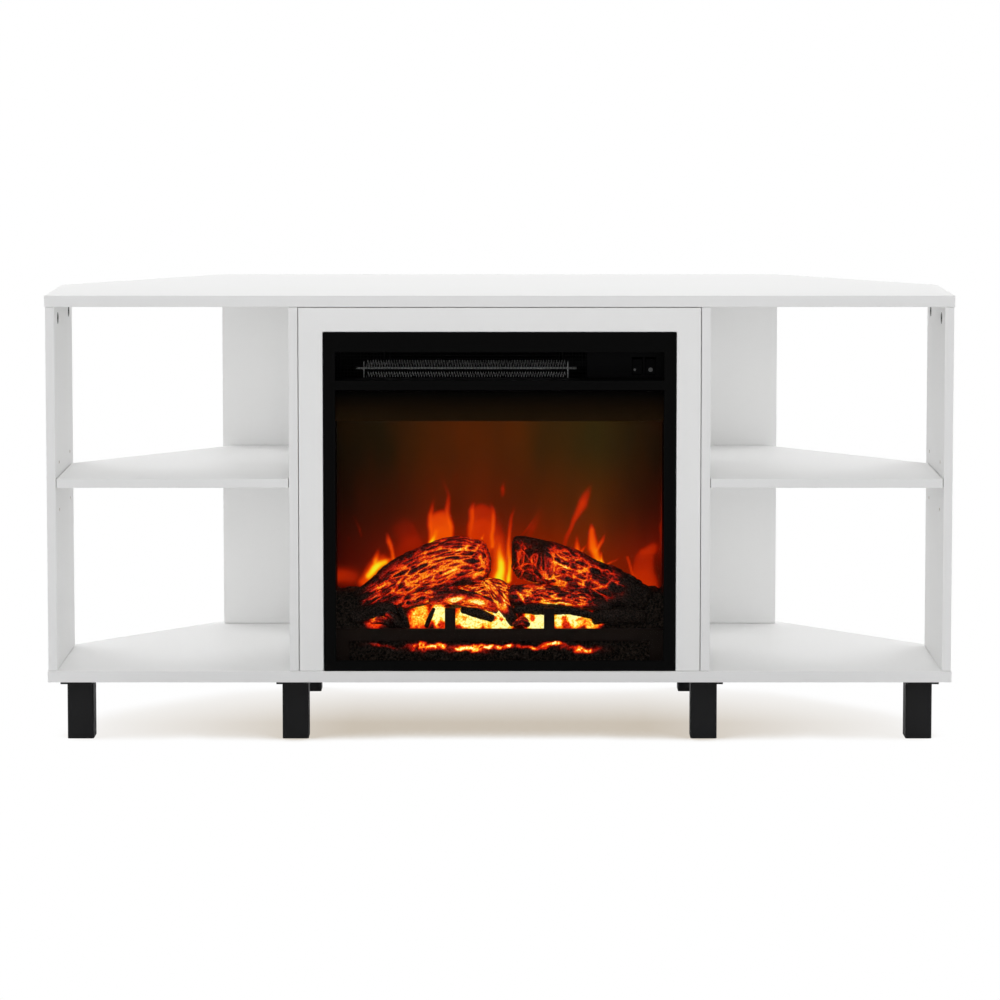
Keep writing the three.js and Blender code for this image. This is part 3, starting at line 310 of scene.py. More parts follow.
@dataclass(frozen=True)
class Finish:
    """What every finish shares: a base colour and how it takes light.

    Attributes:
        name: What the real surface is and how it was made.
        base: Base colour.
        roughness: Roughness of the surface.
        metallic: 1 for bare metal.
        specular: Specular level, 0.5 for a plain dielectric.
        cloud: Colour that it drifts towards in broad patches, or none.
        cloud_mm: Size of those patches.
        cloud_detail: Octaves of the patches' outline.
        rub: How far the roughness falls and rises from place to place.
    """

    name: str
    base: str
    roughness: float
    metallic: float = 0.0
    specular: float = 0.5
    cloud: str = ""
    cloud_mm: float = 90.0
    cloud_detail: float = 2.0
    rub: Pair = (-0.06, 0.08)

    def begin(self) -> tuple[Material, Tree, Node, Socket]:
        """Makes the material with its shader.

        Returns:
            The material, its tree, its shader node and the object coordinates.
        """
        material = bpy.data.materials.new(self.name)
        tree = fresh_tree(material)
        looks = {
            "Base Color": linear(self.base),
            "Roughness": self.roughness,
            "Metallic": self.metallic,
            "Specular IOR Level": self.specular,
        }
        shader = add(tree, "ShaderNodeBsdfPrincipled", looks)
        add(tree, "ShaderNodeOutputMaterial", {"Surface": shader})
        return material, tree, shader, add(tree, "ShaderNodeTexCoord").outputs["Object"]

    def clouded(self, tree: Tree, place: Socket) -> tuple[Node, Node]:
        """Lets the base colour drift over broad patches.

        Args:
            tree: The node tree.
            place: Object coordinates.

        Returns:
            The patches' pattern and the colour.
        """
        size = {"Vector": place, "Scale": per_metre(self.cloud_mm), "Detail": self.cloud_detail}
        cloud = add(tree, "ShaderNodeTexNoise", size)
        tones = {"Factor": cloud, "A": linear(self.base), "B": linear(self.cloud or self.base)}
        return cloud, add(tree, "ShaderNodeMix", tones, data_type="RGBA")

    def rubbed(self, shader: Node, pattern: Node) -> None:
        """Lets the roughness follow a pattern.

        Args:
            shader: The shader node.
            pattern: The pattern, from 0 to 1.
        """
        less, more = self.rub
        reach = {"Value": pattern, "To Min": self.roughness + less, "To Max": self.roughness + more}
        feed(shader, {"Roughness": add(shader.id_data, "ShaderNodeMapRange", reach)})

    def bump(self, shader: Node, height: Node, depth_mm: float) -> None:
        """Gives the shader a relief of a real depth.

        Args:
            shader: The shader node.
            height: Height from 0 to 1.
            depth_mm: Real depth of the relief.
        """
        relief = {"Height": height, "Distance": depth_mm * MM, "Strength": 1.0}
        feed(shader, {"Normal": add(shader.id_data, "ShaderNodeBump", relief)})


@dataclass(frozen=True)
class MelamineBoard(Finish):
    """Melamine paper pressed on particle board, with ABS edge banding.

    Attributes:
        banding: Colour of the edge banding.
        facing: Below this share of the plain faces' direction a face is an edge.
        core: Colour of the chips of particle board inside drilled holes.
        gaps: Colour between the chips.
        chip_mm: Size of a chip.
        pearl_mm: Size of the pearl, drawn coarser than the real 0.3 mm so that it shows.
        pearl_depth_mm: Depth of the pearl.
        edges: Which faces carry the banding.
        bored_depths: Between which depths an upright's drilled holes lie.
    """

    cloud_mm: float = 180.0
    rub: Pair = (-0.05, 0.06)
    banding: str = "#efefef"
    facing: float = 0.6
    core: str = "#a98a62"
    gaps: str = "#7c6040"
    chip_mm: float = 1.4
    pearl_mm: float = 1.2
    pearl_depth_mm: float = 0.006
    edges: EdgeFaces = EdgeFaces.NONE
    bored_depths: Pair = (0.0, 0.0)

    def build(self) -> Material:
        """Makes the material.

        Returns:
            The material.
        """
        material, tree, shader, place = self.begin()
        cloud, colour = self.clouded(tree, place)
        if self.edges is not EdgeFaces.NONE:
            colour = self.with_banding(tree, place, colour)
        feed(shader, {"Base Color": colour})
        self.rubbed(shader, cloud)
        fine = {"Vector": place, "Scale": per_metre(self.pearl_mm), "Detail": 1.0}
        self.bump(shader, add(tree, "ShaderNodeTexNoise", fine), self.pearl_depth_mm)
        return material

    def with_banding(self, tree: Tree, place: Socket, colour: Node) -> Node:
        """Colours the banded edges, and the bare core inside an upright's drilled holes.

        Args:
            tree: The node tree.
            place: Object coordinates.
            colour: The paper's colour.

        Returns:
            The colour with the banding.
        """
        normal = add(tree, "ShaderNodeSeparateXYZ", {0: add(tree, "ShaderNodeNewGeometry").outputs["Normal"]})
        flat = add(tree, "ShaderNodeMath", {0: normal.outputs[self.edges.value]}, operation="ABSOLUTE")
        edge = add(tree, "ShaderNodeMath", {0: flat, 1: self.facing}, operation="LESS_THAN")
        banding = {"Factor": edge, "A": colour, "B": linear(self.banding)}
        banded = add(tree, "ShaderNodeMix", banding, data_type="RGBA")
        if self.edges is EdgeFaces.ROUND_A_FLAT_BOARD:
            return banded
        spot = add(tree, "ShaderNodeSeparateXYZ", {0: place})
        high = self.between(tree, spot.outputs["Z"], BORED_HEIGHTS)
        deep = self.between(tree, spot.outputs["Y"], self.bored_depths)
        inside = add(tree, "ShaderNodeMath", {0: high, 1: deep}, operation="MULTIPLY")
        bored = add(tree, "ShaderNodeMath", {0: inside, 1: edge}, operation="MULTIPLY")
        chips = add(tree, "ShaderNodeTexVoronoi", {"Vector": place, "Scale": per_metre(self.chip_mm)})
        core = add(tree, "ShaderNodeValToRGB", {"Fac": chips}, stops=((0.0, self.gaps), (1.0, self.core)))
        return add(tree, "ShaderNodeMix", {"Factor": bored, "A": banded, "B": core}, data_type="RGBA")

    def between(self, tree: Tree, value: Socket, bounds: Pair) -> Node:
        """Gives 1 where a place lies between two bounds, and 0 elsewhere.

        Args:
            tree: The node tree.
            value: The place in metres.
            bounds: The bounds in millimetres.

        Returns:
            The node that compares them.
        """
        low, high = bounds
        centre, half = (low + high) / 2 * MM, (high - low) / 2 * MM
        return add(tree, "ShaderNodeMath", {0: value, 1: centre, 2: half}, operation="COMPARE")


@dataclass(frozen=True)
class GrainedCoat(Finish):
    """A sprayed or moulded coat with a fine even grain, such as lacquer, powder coat or moulded ABS.

    Attributes:
        grain_mm: Size of the grain.
        relief_mm: Depth of the grain.
        painted_glow: Warm colour painted towards the coat's foot where the fire's light falls on it, or none.
        painted_glow_heights: Height where the painted glow is full and height where it ends.
    """

    cloud_detail: float = 3.0
    grain_mm: float = 1.0
    relief_mm: float = 0.01
    painted_glow: str = ""
    painted_glow_heights: Pair = (0.0, 1.0)

    def build(self) -> Material:
        """Makes the material.

        Returns:
            The material.
        """
        material, tree, shader, place = self.begin()
        grain = {"Vector": place, "Scale": per_metre(self.grain_mm), "Detail": 2.0}
        self.bump(shader, add(tree, "ShaderNodeTexNoise", grain), self.relief_mm)
        cloud, colour = self.clouded(tree, place)
        # paints the fire's warm light as a brown towards the coat's foot
        if self.painted_glow:
            colour = self.with_painted_glow(tree, colour)
        feed(shader, {"Base Color": colour})
        self.rubbed(shader, cloud)
        return material

    def with_painted_glow(self, tree: Tree, colour: Node) -> Node:
        """Paints the fire's warm light on the coat as a brown towards its foot.

        Args:
            tree: The node tree.
            colour: The coat's colour.

        Returns:
            The colour with the painted glow.
        """
        glow_full, plain = (height * MM for height in self.painted_glow_heights)
        spot = add(tree, "ShaderNodeSeparateXYZ", {0: add(tree, "ShaderNodeNewGeometry").outputs["Position"]})
        fade = {"Value": spot.outputs["Z"]}
        fade |= {"From Min": glow_full, "From Max": plain, "To Min": 1.0, "To Max": 0.0}
        tones = {"Factor": add(tree, "ShaderNodeMapRange", fade), "A": colour, "B": linear(self.painted_glow)}
        return add(tree, "ShaderNodeMix", tones, data_type="RGBA")


@dataclass(frozen=True)
class WorkedMetal(Finish):
    """Bare or plated metal with the lines that drawing or rolling leaves along it.

    Attributes:
        line_mm: Spacing of the lines, drawn coarser than the real 0.1 mm so that they show.
        line_depth_mm: Depth of the lines.
        along: How far the lines stretch along x, y and z, as factors on the scale.
        stain: Darker colour between the lines.
    """

    rub: Pair = (-0.08, 0.1)
    line_mm: float = 0.8
    line_depth_mm: float = 0.01
    along: Triple = (0.05, 1.0, 1.0)
    stain: str = "#8f8f8c"

    def build(self) -> Material:
        """Makes the material.

        Returns:
            The material.
        """
        material, tree, shader, place = self.begin()
        stretched = add(tree, "ShaderNodeMapping", {"Vector": place, "Scale": self.along})
        drawn = {"Vector": stretched, "Scale": per_metre(self.line_mm), "Detail": 3.0}
        lines = add(tree, "ShaderNodeTexNoise", drawn)
        tone = add(tree, "ShaderNodeValToRGB", {"Fac": lines}, stops=((0.3, self.stain), (0.65, self.base)))
        feed(shader, {"Base Color": tone})
        self.rubbed(shader, lines)
        self.bump(shader, lines, self.line_depth_mm)
        return material


@dataclass(frozen=True)
class ClearGlass(Finish):
    """Tempered float glass with a coat against reflections, so that the fire shows black and clear behind it.

    Attributes:
        ior: Refraction, typically 1.5 and matched lower to show what the coat does to the reflections.
        dimming: How it dims the room's light on its way into the dark firebox.
    """

    cloud: str = "#fafbfa"
    cloud_mm: float = 120.0
    ior: float = 1.06
    dimming: str = "#b4b4b4"

    def build(self) -> Material:
        """Makes the material.

        Returns:
            The material.
        """
        material, tree, shader, place = self.begin()
        _, tint = self.clouded(tree, place)
        feed(shader, {"Base Color": tint, "Transmission Weight": 1.0, "IOR": self.ior})
        dimmed = add(tree, "ShaderNodeBsdfTransparent", {"Color": linear(self.dimming)})
        mixed = add(tree, "ShaderNodeMixShader", {0: seen_rays(tree), 1: dimmed, 2: shader})
        output = next(node for node in tree.nodes if node.type == "OUTPUT_MATERIAL")
        feed(output, {"Surface": mixed})
        return material


HEAT = "ember_glow"
FLAME = "flame_light"
EMBER_STOPS = (
    (0.0, "#000000"), (0.16, "#1c0201"), (0.32, "#700a03"), (0.48, "#c01803"),
    (0.62, "#ea3c04"), (0.78, "#ff9614"), (0.9, "#ffdc3c"), (1.0, "#fff4a4"),
)


@dataclass(frozen=True)
class GlowingResin(Finish):
    """Translucent moulded resin, painted as charred wood, with lamps behind its thin places.

    Attributes:
        ash: Lighter colour of the dusted high places.
        ash_range: Where on the grain the char ends and the ash is full.
        grain_mm: Size of the char's grain.
        grain_depth_mm: Depth of the grain.
        uneven: Share of the heat that the finest and the coarsest grain let through.
        glow: Strength of the lamps' light where the heat is full.
    """

    ash: str = "#3a3633"
    ash_range: Pair = (0.42, 0.78)
    grain_mm: float = 2.2
    grain_depth_mm: float = 0.7
    uneven: Pair = (0.72, 1.16)
    glow: float = 1.0

    def build(self) -> Material:
        """Makes the material.

        Returns:
            The material.
        """
        material, tree, shader, place = self.begin()
        char = {"Vector": place, "Scale": per_metre(self.grain_mm), "Detail": 5.0, "Roughness": 0.65}
        grain = add(tree, "ShaderNodeTexNoise", char)
        dust = tuple(zip(self.ash_range, (self.base, self.ash)))
        self.bump(shader, grain, self.grain_depth_mm)
        heat = add(tree, "ShaderNodeAttribute", attribute_name=HEAT)
        least, most = self.uneven
        patchy = {"Value": grain, "From Min": 0.3, "From Max": 0.7, "To Min": least, "To Max": most}
        shared = {0: heat.outputs["Fac"], 1: add(tree, "ShaderNodeMapRange", patchy)}
        warmth = add(tree, "ShaderNodeMath", shared, operation="MULTIPLY")
        looks = {
            "Base Color": add(tree, "ShaderNodeValToRGB", {"Fac": grain}, stops=dust),
            "Emission Color": add(tree, "ShaderNodeValToRGB", {"Fac": warmth}, stops=EMBER_STOPS),
            "Emission Strength": self.glow,
        }
        feed(shader, looks)
        return material


@dataclass(frozen=True)
class SmokedAcrylic(Finish):
    """Smoked, lightly frosted acrylic sheet that shows the flames thrown on it from behind.

    Attributes:
        frost_mm: Size of the frosting's grain.
        frost_depth_mm: Depth of the frosting.
    """

    frost_mm: float = 1.5
    frost_depth_mm: float = 0.01

    def build(self) -> Material:
        """Makes the material.

        Returns:
            The material.
        """
        material, tree, shader, place = self.begin()
        frost = {"Vector": place, "Scale": per_metre(self.frost_mm), "Detail": 2.0}
        self.bump(shader, add(tree, "ShaderNodeTexNoise", frost), self.frost_depth_mm)
        flame = add(tree, "ShaderNodeAttribute", attribute_name=FLAME)
        feed(shader, {"Emission Color": flame.outputs["Color"], "Emission Strength": 1.0})
        return material


# Melamine paper pressed on particle board, an even satin white whose banded edges are a shade greyer
MELAMINE = {"base": "#f5f5f5", "roughness": 0.46, "cloud": "#f4f4f3"}
UPRIGHT = {"edges": EdgeFaces.ROUND_AN_UPRIGHT, **MELAMINE}
FLAT_BOARD = MelamineBoard("melamine_board_pressed", edges=EdgeFaces.ROUND_A_FLAT_BOARD, **MELAMINE)
BACK_BOARD = MelamineBoard("melamine_back_board_pressed", **MELAMINE)
# The same board with tan particle board showing in its drilled holes
SIDE_BOARD = MelamineBoard("melamine_side_pressed_and_drilled", bored_depths=SIDE_BORED_DEPTHS, **UPRIGHT)
DIVIDER_BOARD = MelamineBoard(
    "melamine_divider_pressed_and_drilled", bored_depths=DIVIDER_BORED_DEPTHS, **UPRIGHT
)
# Lacquer sprayed on MDF, the same white without a joint or a banded edge
SURROUND = GrainedCoat(
    "mdf_sprayed_white_lacquer", "#f5f5f5", 0.42, grain_mm=1.6, relief_mm=0.006, cloud="#f3f3f2"
)
# Powder coat baked on steel, a matt near-black with a fine orange peel
POWDER_COAT = GrainedCoat(
    "steel_black_powder_coat", "#161617", 0.5, specular=0.2, grain_mm=0.9, relief_mm=0.03, cloud="#202021"
)
# Sprayed enamel, a deep black that gives back almost no light
ENAMEL = GrainedCoat(
    "steel_black_enamel_sprayed", "#060606", 0.42, specular=0.05, grain_mm=0.8, relief_mm=0.008
)
# The same enamel over the fire, with the fire's warm light painted on it as a brown towards its foot
ENAMEL_WITH_PAINTED_FIRELIGHT = GrainedCoat(
    "steel_black_enamel_with_painted_firelight", "#0c0906", 0.5, specular=0.05, grain_mm=0.8, relief_mm=0.008,
    painted_glow="#4a3216", painted_glow_heights=(424.0, 466.0)
)
# Coated sheet steel, a dull charcoal that shows its folds
CASE_COAT = GrainedCoat("sheet_steel_dark_coat", "#0e0e0f", 0.55, specular=0.2, grain_mm=1.2, relief_mm=0.015)
# Moulded ABS, a soft black with a light spark grain
ABS = GrainedCoat(
    "abs_black_moulded", "#070708", 0.5, specular=0.06, grain_mm=0.9, relief_mm=0.02, cloud="#0c0c0d"
)
# Moulded to look like cast iron, a coarse warm black dusted with soot
CAST_BLACK = GrainedCoat(
    "grate_moulded_black_cast_look", "#26201c", 0.6, specular=0.25,
    grain_mm=1.6, relief_mm=0.12, cloud="#45332b"
)
# Blackened woven wire, which shows as a dim even veil
MESH_WIRE = GrainedCoat(
    "wire_mesh_woven_blackened", "#070707", 0.5, specular=0.3, grain_mm=0.8, relief_mm=0.01
)
# Solder mask over copper, a glossy mottled green
CIRCUIT = GrainedCoat(
    "circuit_board_solder_mask", "#1c4a2c", 0.35, grain_mm=2.5, relief_mm=0.02, cloud="#2c6a3e"
)
# A painted motor can, a plain mid grey
CAN = GrainedCoat(
    "motor_can_pressed_and_painted", "#7d8082", 0.4, grain_mm=1.0, relief_mm=0.01, cloud="#8b8e90"
)
# Blackened steel, dark with a little metal in its gloss
DARK_CAN = WorkedMetal("steel_motor_can_blackened", "#2c2d2e", 0.5, metallic=1.0, stain="#222324")
# Painted highlight, a flat grey that stands in for light glinting on the rockers' lower faces
PAINTED_HIGHLIGHT = GrainedCoat("grey_painted_highlight", "#6c6c6c", 0.5, specular=0.1, grain_mm=0.6, relief_mm=0.004)
# Die-cast zinc as it comes from the mould, a dull dark grey
CAM_METAL = WorkedMetal("zinc_die_cast", "#5e5f5d", 0.55, metallic=1.0, stain="#3a3b39")
# Bright zinc plate, a pale cool silver
ZINC_PLATE = WorkedMetal("steel_zinc_plated", "#c2c3c1", 0.34, metallic=1.0, stain="#a3a5a4")
# Bright drawn steel, shiny with lines along it
DRAWN_STEEL = WorkedMetal("steel_bright_drawn", "#b9b9b8", 0.28, metallic=1.0)
# Thin folded aluminium, whose folds catch light as pale lines
FINS = WorkedMetal("aluminium_folded_fins", "#f2f3f3", 0.6, metallic=0.3, line_mm=1.2, stain="#dcdedd")
# Polished aluminium, almost a mirror
REFLECTOR = WorkedMetal("aluminium_polished_flags", "#e2e3e3", 0.12, metallic=1.0, stain="#cfd0d0")
# Coated float glass, clear and smooth with hardly a reflection
GLASS = ClearGlass("float_glass_tempered_coated", "#ffffff", 0.0)
# Resin cast over real bark and painted, black and ashy with a red glow in its cracks
BARK = GlowingResin("resin_cast_charred_bark", "#181411", 0.66, specular=0.4, ash="#80695b")
# Resin cast over coals, coarser, with lamps just under it
EMBERS = GlowingResin(
    "resin_cast_embers", "#17130f", 0.75, specular=0.3, ash="#7a6658", grain_mm=3.0, glow=1.15
)
# Smoked acrylic, near-black where no flame is thrown on it
SCREEN = SmokedAcrylic("acrylic_smoked_frosted_sheet", "#090807", 0.4, specular=0.2)


@lru_cache(maxsize=None)
def material_of(finish: Finish) -> Material:
    """Gives a finish's material, made on first use."""
    return finish.build()


# Meshes


def grid_faces(rows: int, columns: int) -> Faces:
    """Stitches rows of points into a sheet.

    Args:
        rows: How many rows there are.
        columns: Points in each row.

    Returns:
        Corner numbers of each face.
    """
    corners = (k * columns + i for k, i in product(range(rows - 1), range(columns - 1)))
    return [(a, a + 1, a + columns + 1, a + columns) for a in corners]


def rim(rows: int, columns: int) -> Faces:
    """Lists the corner numbers of a sheet's first and last row and first and last column.

    Args:
        rows: How many rows there are.
        columns: Points in each row.

    Returns:
        The four lists of numbers.
    """
    numbers = np.arange(rows * columns).reshape(rows, columns)
    return [tuple(line.tolist()) for line in (numbers[0], numbers[-1], numbers[:, 0], numbers[:, -1])]


def tube_faces(rings: int, sides: int) -> Faces:
    """Stitches rings of points into a tube.

    Args:
        rings: How many rings there are.
        sides: Points in each ring.

    Returns:
        Corner numbers of each face.
    """
    faces = []
    for k, i in product(range(rings - 1), range(sides)):
        a, b = k * sides + i, k * sides + (i + 1) % sides
        faces.append((a, b, b + sides, a + sides))
    return faces


@dataclass
class Shape:
    """A mesh in the making, in millimetres.

    Attributes:
        points: Corner places, one row each.
        faces: Corner numbers of each face.
        values: A value for each corner, by attribute name.
    """

    points: list = field(default_factory=list)
    faces: list = field(default_factory=list)
    values: dict = field(default_factory=dict)

    def grow(self, points: Iterable[Place], faces: Iterable[Sequence[int]]) -> None:
        """Adds points and faces.

        Args:
            points: The points.
            faces: Corner numbers of each face, from 0 among these points.
        """
        start = len(self.points)
        self.points.extend(tuple(p) for p in points)
        self.faces.extend(tuple(start + i for i in f) for f in faces)

    def block(self, low: Place, high: Place, chamfer: float) -> None:
        """Adds a block whose front is chamfered.

        Args:
            low: Lowest corner.
            high: Highest corner.
            chamfer: Width of the chamfer round the x and z edges of its front.
        """
        (x0, y0, z0), (x1, y1, z1) = low, high
        c = chamfer
        points = []
        for y, inset in ((y0, c), (y0 + c, 0), (y1, 0)):
            left, right, foot, head = x0 + inset, x1 - inset, z0 + inset, z1 - inset
            points += [(left, y, foot), (right, y, foot), (right, y, head), (left, y, head)]
        faces = [(0, 1, 2, 3), (11, 10, 9, 8)]
        for k in (0, 4):
            faces += [(k + (i + 1) % 4, k + i, k + 4 + i, k + 4 + (i + 1) % 4) for i in range(4)]
        self.grow(points, faces)

    def wire(self, start: Place, end: Place, radius: float, sides: int = 6) -> None:
        """Adds a straight round wire across the depth.

        Args:
            start: One end of the wire.
            end: The other end.
            radius: Radius of the wire.
            sides: Sides of its section.
        """
        ahead = np.subtract(end, start) / math.dist(start, end)
        aside = np.cross(ahead, (0.0, 1.0, 0.0))
        over = np.cross(ahead, aside)
        turn = np.arange(sides)[:, None] * 2 * math.pi / sides
        out, up = radius * np.cos(turn) * aside, radius * np.sin(turn) * over
        rings = [middle + out + up for middle in (start, end)]
        ends = [tuple(range(sides)), tuple(sides + i for i in reversed(range(sides)))]
        self.grow(np.vstack(rings), ends + tube_faces(2, sides))

    def strip(self, outline: Sequence[Place], y0: float, y1: float) -> None:
        """Adds a closed outline (x, z), carried from y0 to y1.

        Args:
            outline: The outline's points in order, out along one side and back along the other.
            y0: Front of the strip.
            y1: Back of the strip.
        """
        count = len(outline)
        points = [(x, y, z) for y in (y0, y1) for x, z in outline]
        faces = [(i, (i + 1) % count, (i + 1) % count + count, i + count) for i in range(count)]
        for i in range(count // 2 - 1):
            a, b, c, d = i, i + 1, count - 2 - i, count - 1 - i
            faces += [(d, c, b, a), (a + count, b + count, c + count, d + count)]
        self.grow(points, faces)

    def dome(
        self, centre: Place, normal: Place, radius: float, height: float, sides: int = 24
    ) -> None:
        """Adds a pan screw head with a cross recess, standing on a surface.

        Args:
            centre: Middle of its foot.
            normal: Direction that it stands in.
            radius: Radius of its foot.
            height: Its height.
            sides: Sides of its outline.
        """
        up = Vector(normal).normalized()
        side = up.orthogonal().normalized()
        other = up.cross(side)
        rings = [(1.0, 0.0), (1.0, 0.45), (0.9, 0.75), (0.68, 0.95), (0.5, 1.0), (0.3, 1.0), (0.1, 0.45)]
        cross_ring, cross_depth, arm = len(rings) - 2, 0.5, 0.45
        points = []
        for ring, (share, rise) in enumerate(rings):
            for i in range(sides):
                turn = 2 * math.pi * i / sides
                sunk = cross_depth if ring == cross_ring and abs(math.sin(2 * turn)) < arm else 0.0
                offset = side * math.cos(turn) + other * math.sin(turn)
                points.append(Vector(centre) + offset * radius * share + up * height * (rise - sunk))
        faces = [tuple(reversed(range(sides)))] + tube_faces(len(rings), sides)
        faces.append(tuple((len(rings) - 1) * sides + i for i in range(sides)))
        self.grow(points, faces)

    def piece(
        self,
        name: str,
        finish: Finish,
        slot: Slot,
        body: Body = Body.ROOT,
        replaced: Sequence[str] = (),
        smooth: float = 0.0,
    ) -> bpy.types.Object:
        """Makes the Blender object and lets it ride on its body.

        Args:
            name: Name of the piece.
            finish: Its finish.
            slot: Not used.
            body: The body that it rides on.
            replaced: CAD nodes that it stands for.
            smooth: Angle in degrees up to which its faces shade smoothly.

        Returns:
            The object.
        """
        mesh = bpy.data.meshes.new(name)
        mesh.from_pydata((np.asarray(self.points, float) * MM).tolist(), [], self.faces)
        outwards = bmesh.new()
        outwards.from_mesh(mesh)
        bmesh.ops.recalc_face_normals(outwards, faces=outwards.faces)
        outwards.to_mesh(mesh)
        outwards.free()
        for key, values in self.values.items():
            colour = np.ndim(values) == 2
            attribute = mesh.attributes.new(key, "FLOAT_COLOR" if colour else "FLOAT", "POINT")
            attribute.data.foreach_set("color" if colour else "value", np.asarray(values, np.float32).ravel())
        if smooth:
            mesh.shade_smooth()
            if smooth < 180:
                mesh.set_sharp_from_angle(angle=math.radians(smooth))
        mesh.materials.append(material_of(finish))
        piece = bpy.data.objects.new(name, mesh)
        bpy.context.scene.collection.objects.link(piece)
        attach(piece, body.value)
        if replaced:
            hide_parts(*replaced)
        log.info("%s: %d faces, rides on %s", name, len(self.faces), body.value)
        return piece


def dress(node: str, finish: Finish, ease_mm: float = 0.0, steps: int = 2) -> None:
    """Gives a CAD node its material and eases its sharp edges.

    Args:
        node: Name of the node.
        finish: Its finish.
        ease_mm: Width of the eased edges, or 0 to leave them.
        steps: Faces across each eased edge.
    """
    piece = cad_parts[node]
    piece.data.materials.clear()
    piece.data.materials.append(material_of(finish))
    if ease_mm:
        weld = piece.modifiers.new("weld", "WELD")
        weld.merge_threshold = 0.01 * MM
        ease = piece.modifiers.new("eased_edges", "BEVEL")
        ease.width = ease_mm * MM
        ease.segments = steps
        ease.limit_method = "ANGLE"
        ease.angle_limit = math.radians(40)
        piece.modifiers.new("even_shading", "WEIGHTED_NORMAL")
    log.info("%s: %s", node, finish.name)


def node_box(node: str) -> tuple[Array, Array]:
    """Gives a CAD node's lowest and highest corner in millimetres."""
    low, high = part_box(node)
    return np.array(low) / MM, np.array(high) / MM


# The boards, their hardware and the legs


@dataclass
class Carcass:
    """The laminated boards of the stand.

    Attributes:
        ease: Radius of the edge banding on the top and bottom.
        thin_ease: Radius of the banding on the other boards.
    """

    ease: float = 0.7
    thin_ease: float = 0.6

    def build(self) -> None:
        """Dresses the boards."""
        for board in ("top_panel", "bottom_panel"):
            dress(board, FLAT_BOARD, self.ease, steps=3)
        boards = {
            "shelf": FLAT_BOARD,
            "back_panel": BACK_BOARD,
            "side_panel": SIDE_BOARD,
            "divider": DIVIDER_BOARD,
        }
        for side, (board, finish) in product(BOTH, boards.items()):
            dress(f"{side}_{board}", finish, self.thin_ease)


@dataclass
class Hardware:
    """The shelf pins and cam locks.

    Attributes:
        ease: Radius at their rims.
    """

    ease: float = 0.3

    def build(self) -> None:
        """Dresses the sixteen fittings."""
        for side, end, upright in product(BOTH, ("front", "rear"), ("side", "divider")):
            dress(f"{side}_{end}_{upright}_pin", DRAWN_STEEL, self.ease)
            dress(f"{side}_{end}_{upright}_cam", CAM_METAL, self.ease)


@dataclass
class Legs:
    """The six powder-coated legs, and the wider plates that the four in front hang from.

    Attributes:
        ease: Radius of the folded edges.
        plate: Distance from a plate's underside to the top of the leg.
        plate_reach: How far it reaches in front of its tube.
        plate_inset: How far its other edges stay inside the leg's outline.
        plate_gap: How far its top stays under the bottom panel.
        plate_chamfer: Width of its broken front edges.
    """

    ease: float = 1.0
    plate: float = 3.2
    plate_reach: float = 17.0
    plate_inset: float = 0.2
    plate_gap: float = 0.05
    plate_chamfer: float = 0.3

    def build(self) -> None:
        """Dresses the legs and adds the plates."""
        plates = Shape()
        inset = self.plate_inset
        for side, place in product(BOTH, ("corner", "front", "rear")):
            dress(f"{side}_{place}_leg", POWDER_COAT, self.ease, steps=3)
            if place != "rear":
                low, high = node_box(f"{side}_{place}_leg")
                near = (low[0] + inset, low[1] - self.plate_reach, high[2] - self.plate)
                far = (high[0] - inset, high[1] - inset, high[2] - self.plate_gap)
                plates.block(near, far, self.plate_chamfer)
        plates.piece("leg_plates", POWDER_COAT, Slot.LEG)


@dataclass
class Surround:
    """The white lacquered frame round the fireplace.

    Attributes:
        ease: Radius of its sanded edges.
    """

    ease: float = 0.9

    def build(self) -> None:
        """Dresses the surround."""
        dress("surround_frame", SURROUND, self.ease, steps=3)


# The fireplace insert


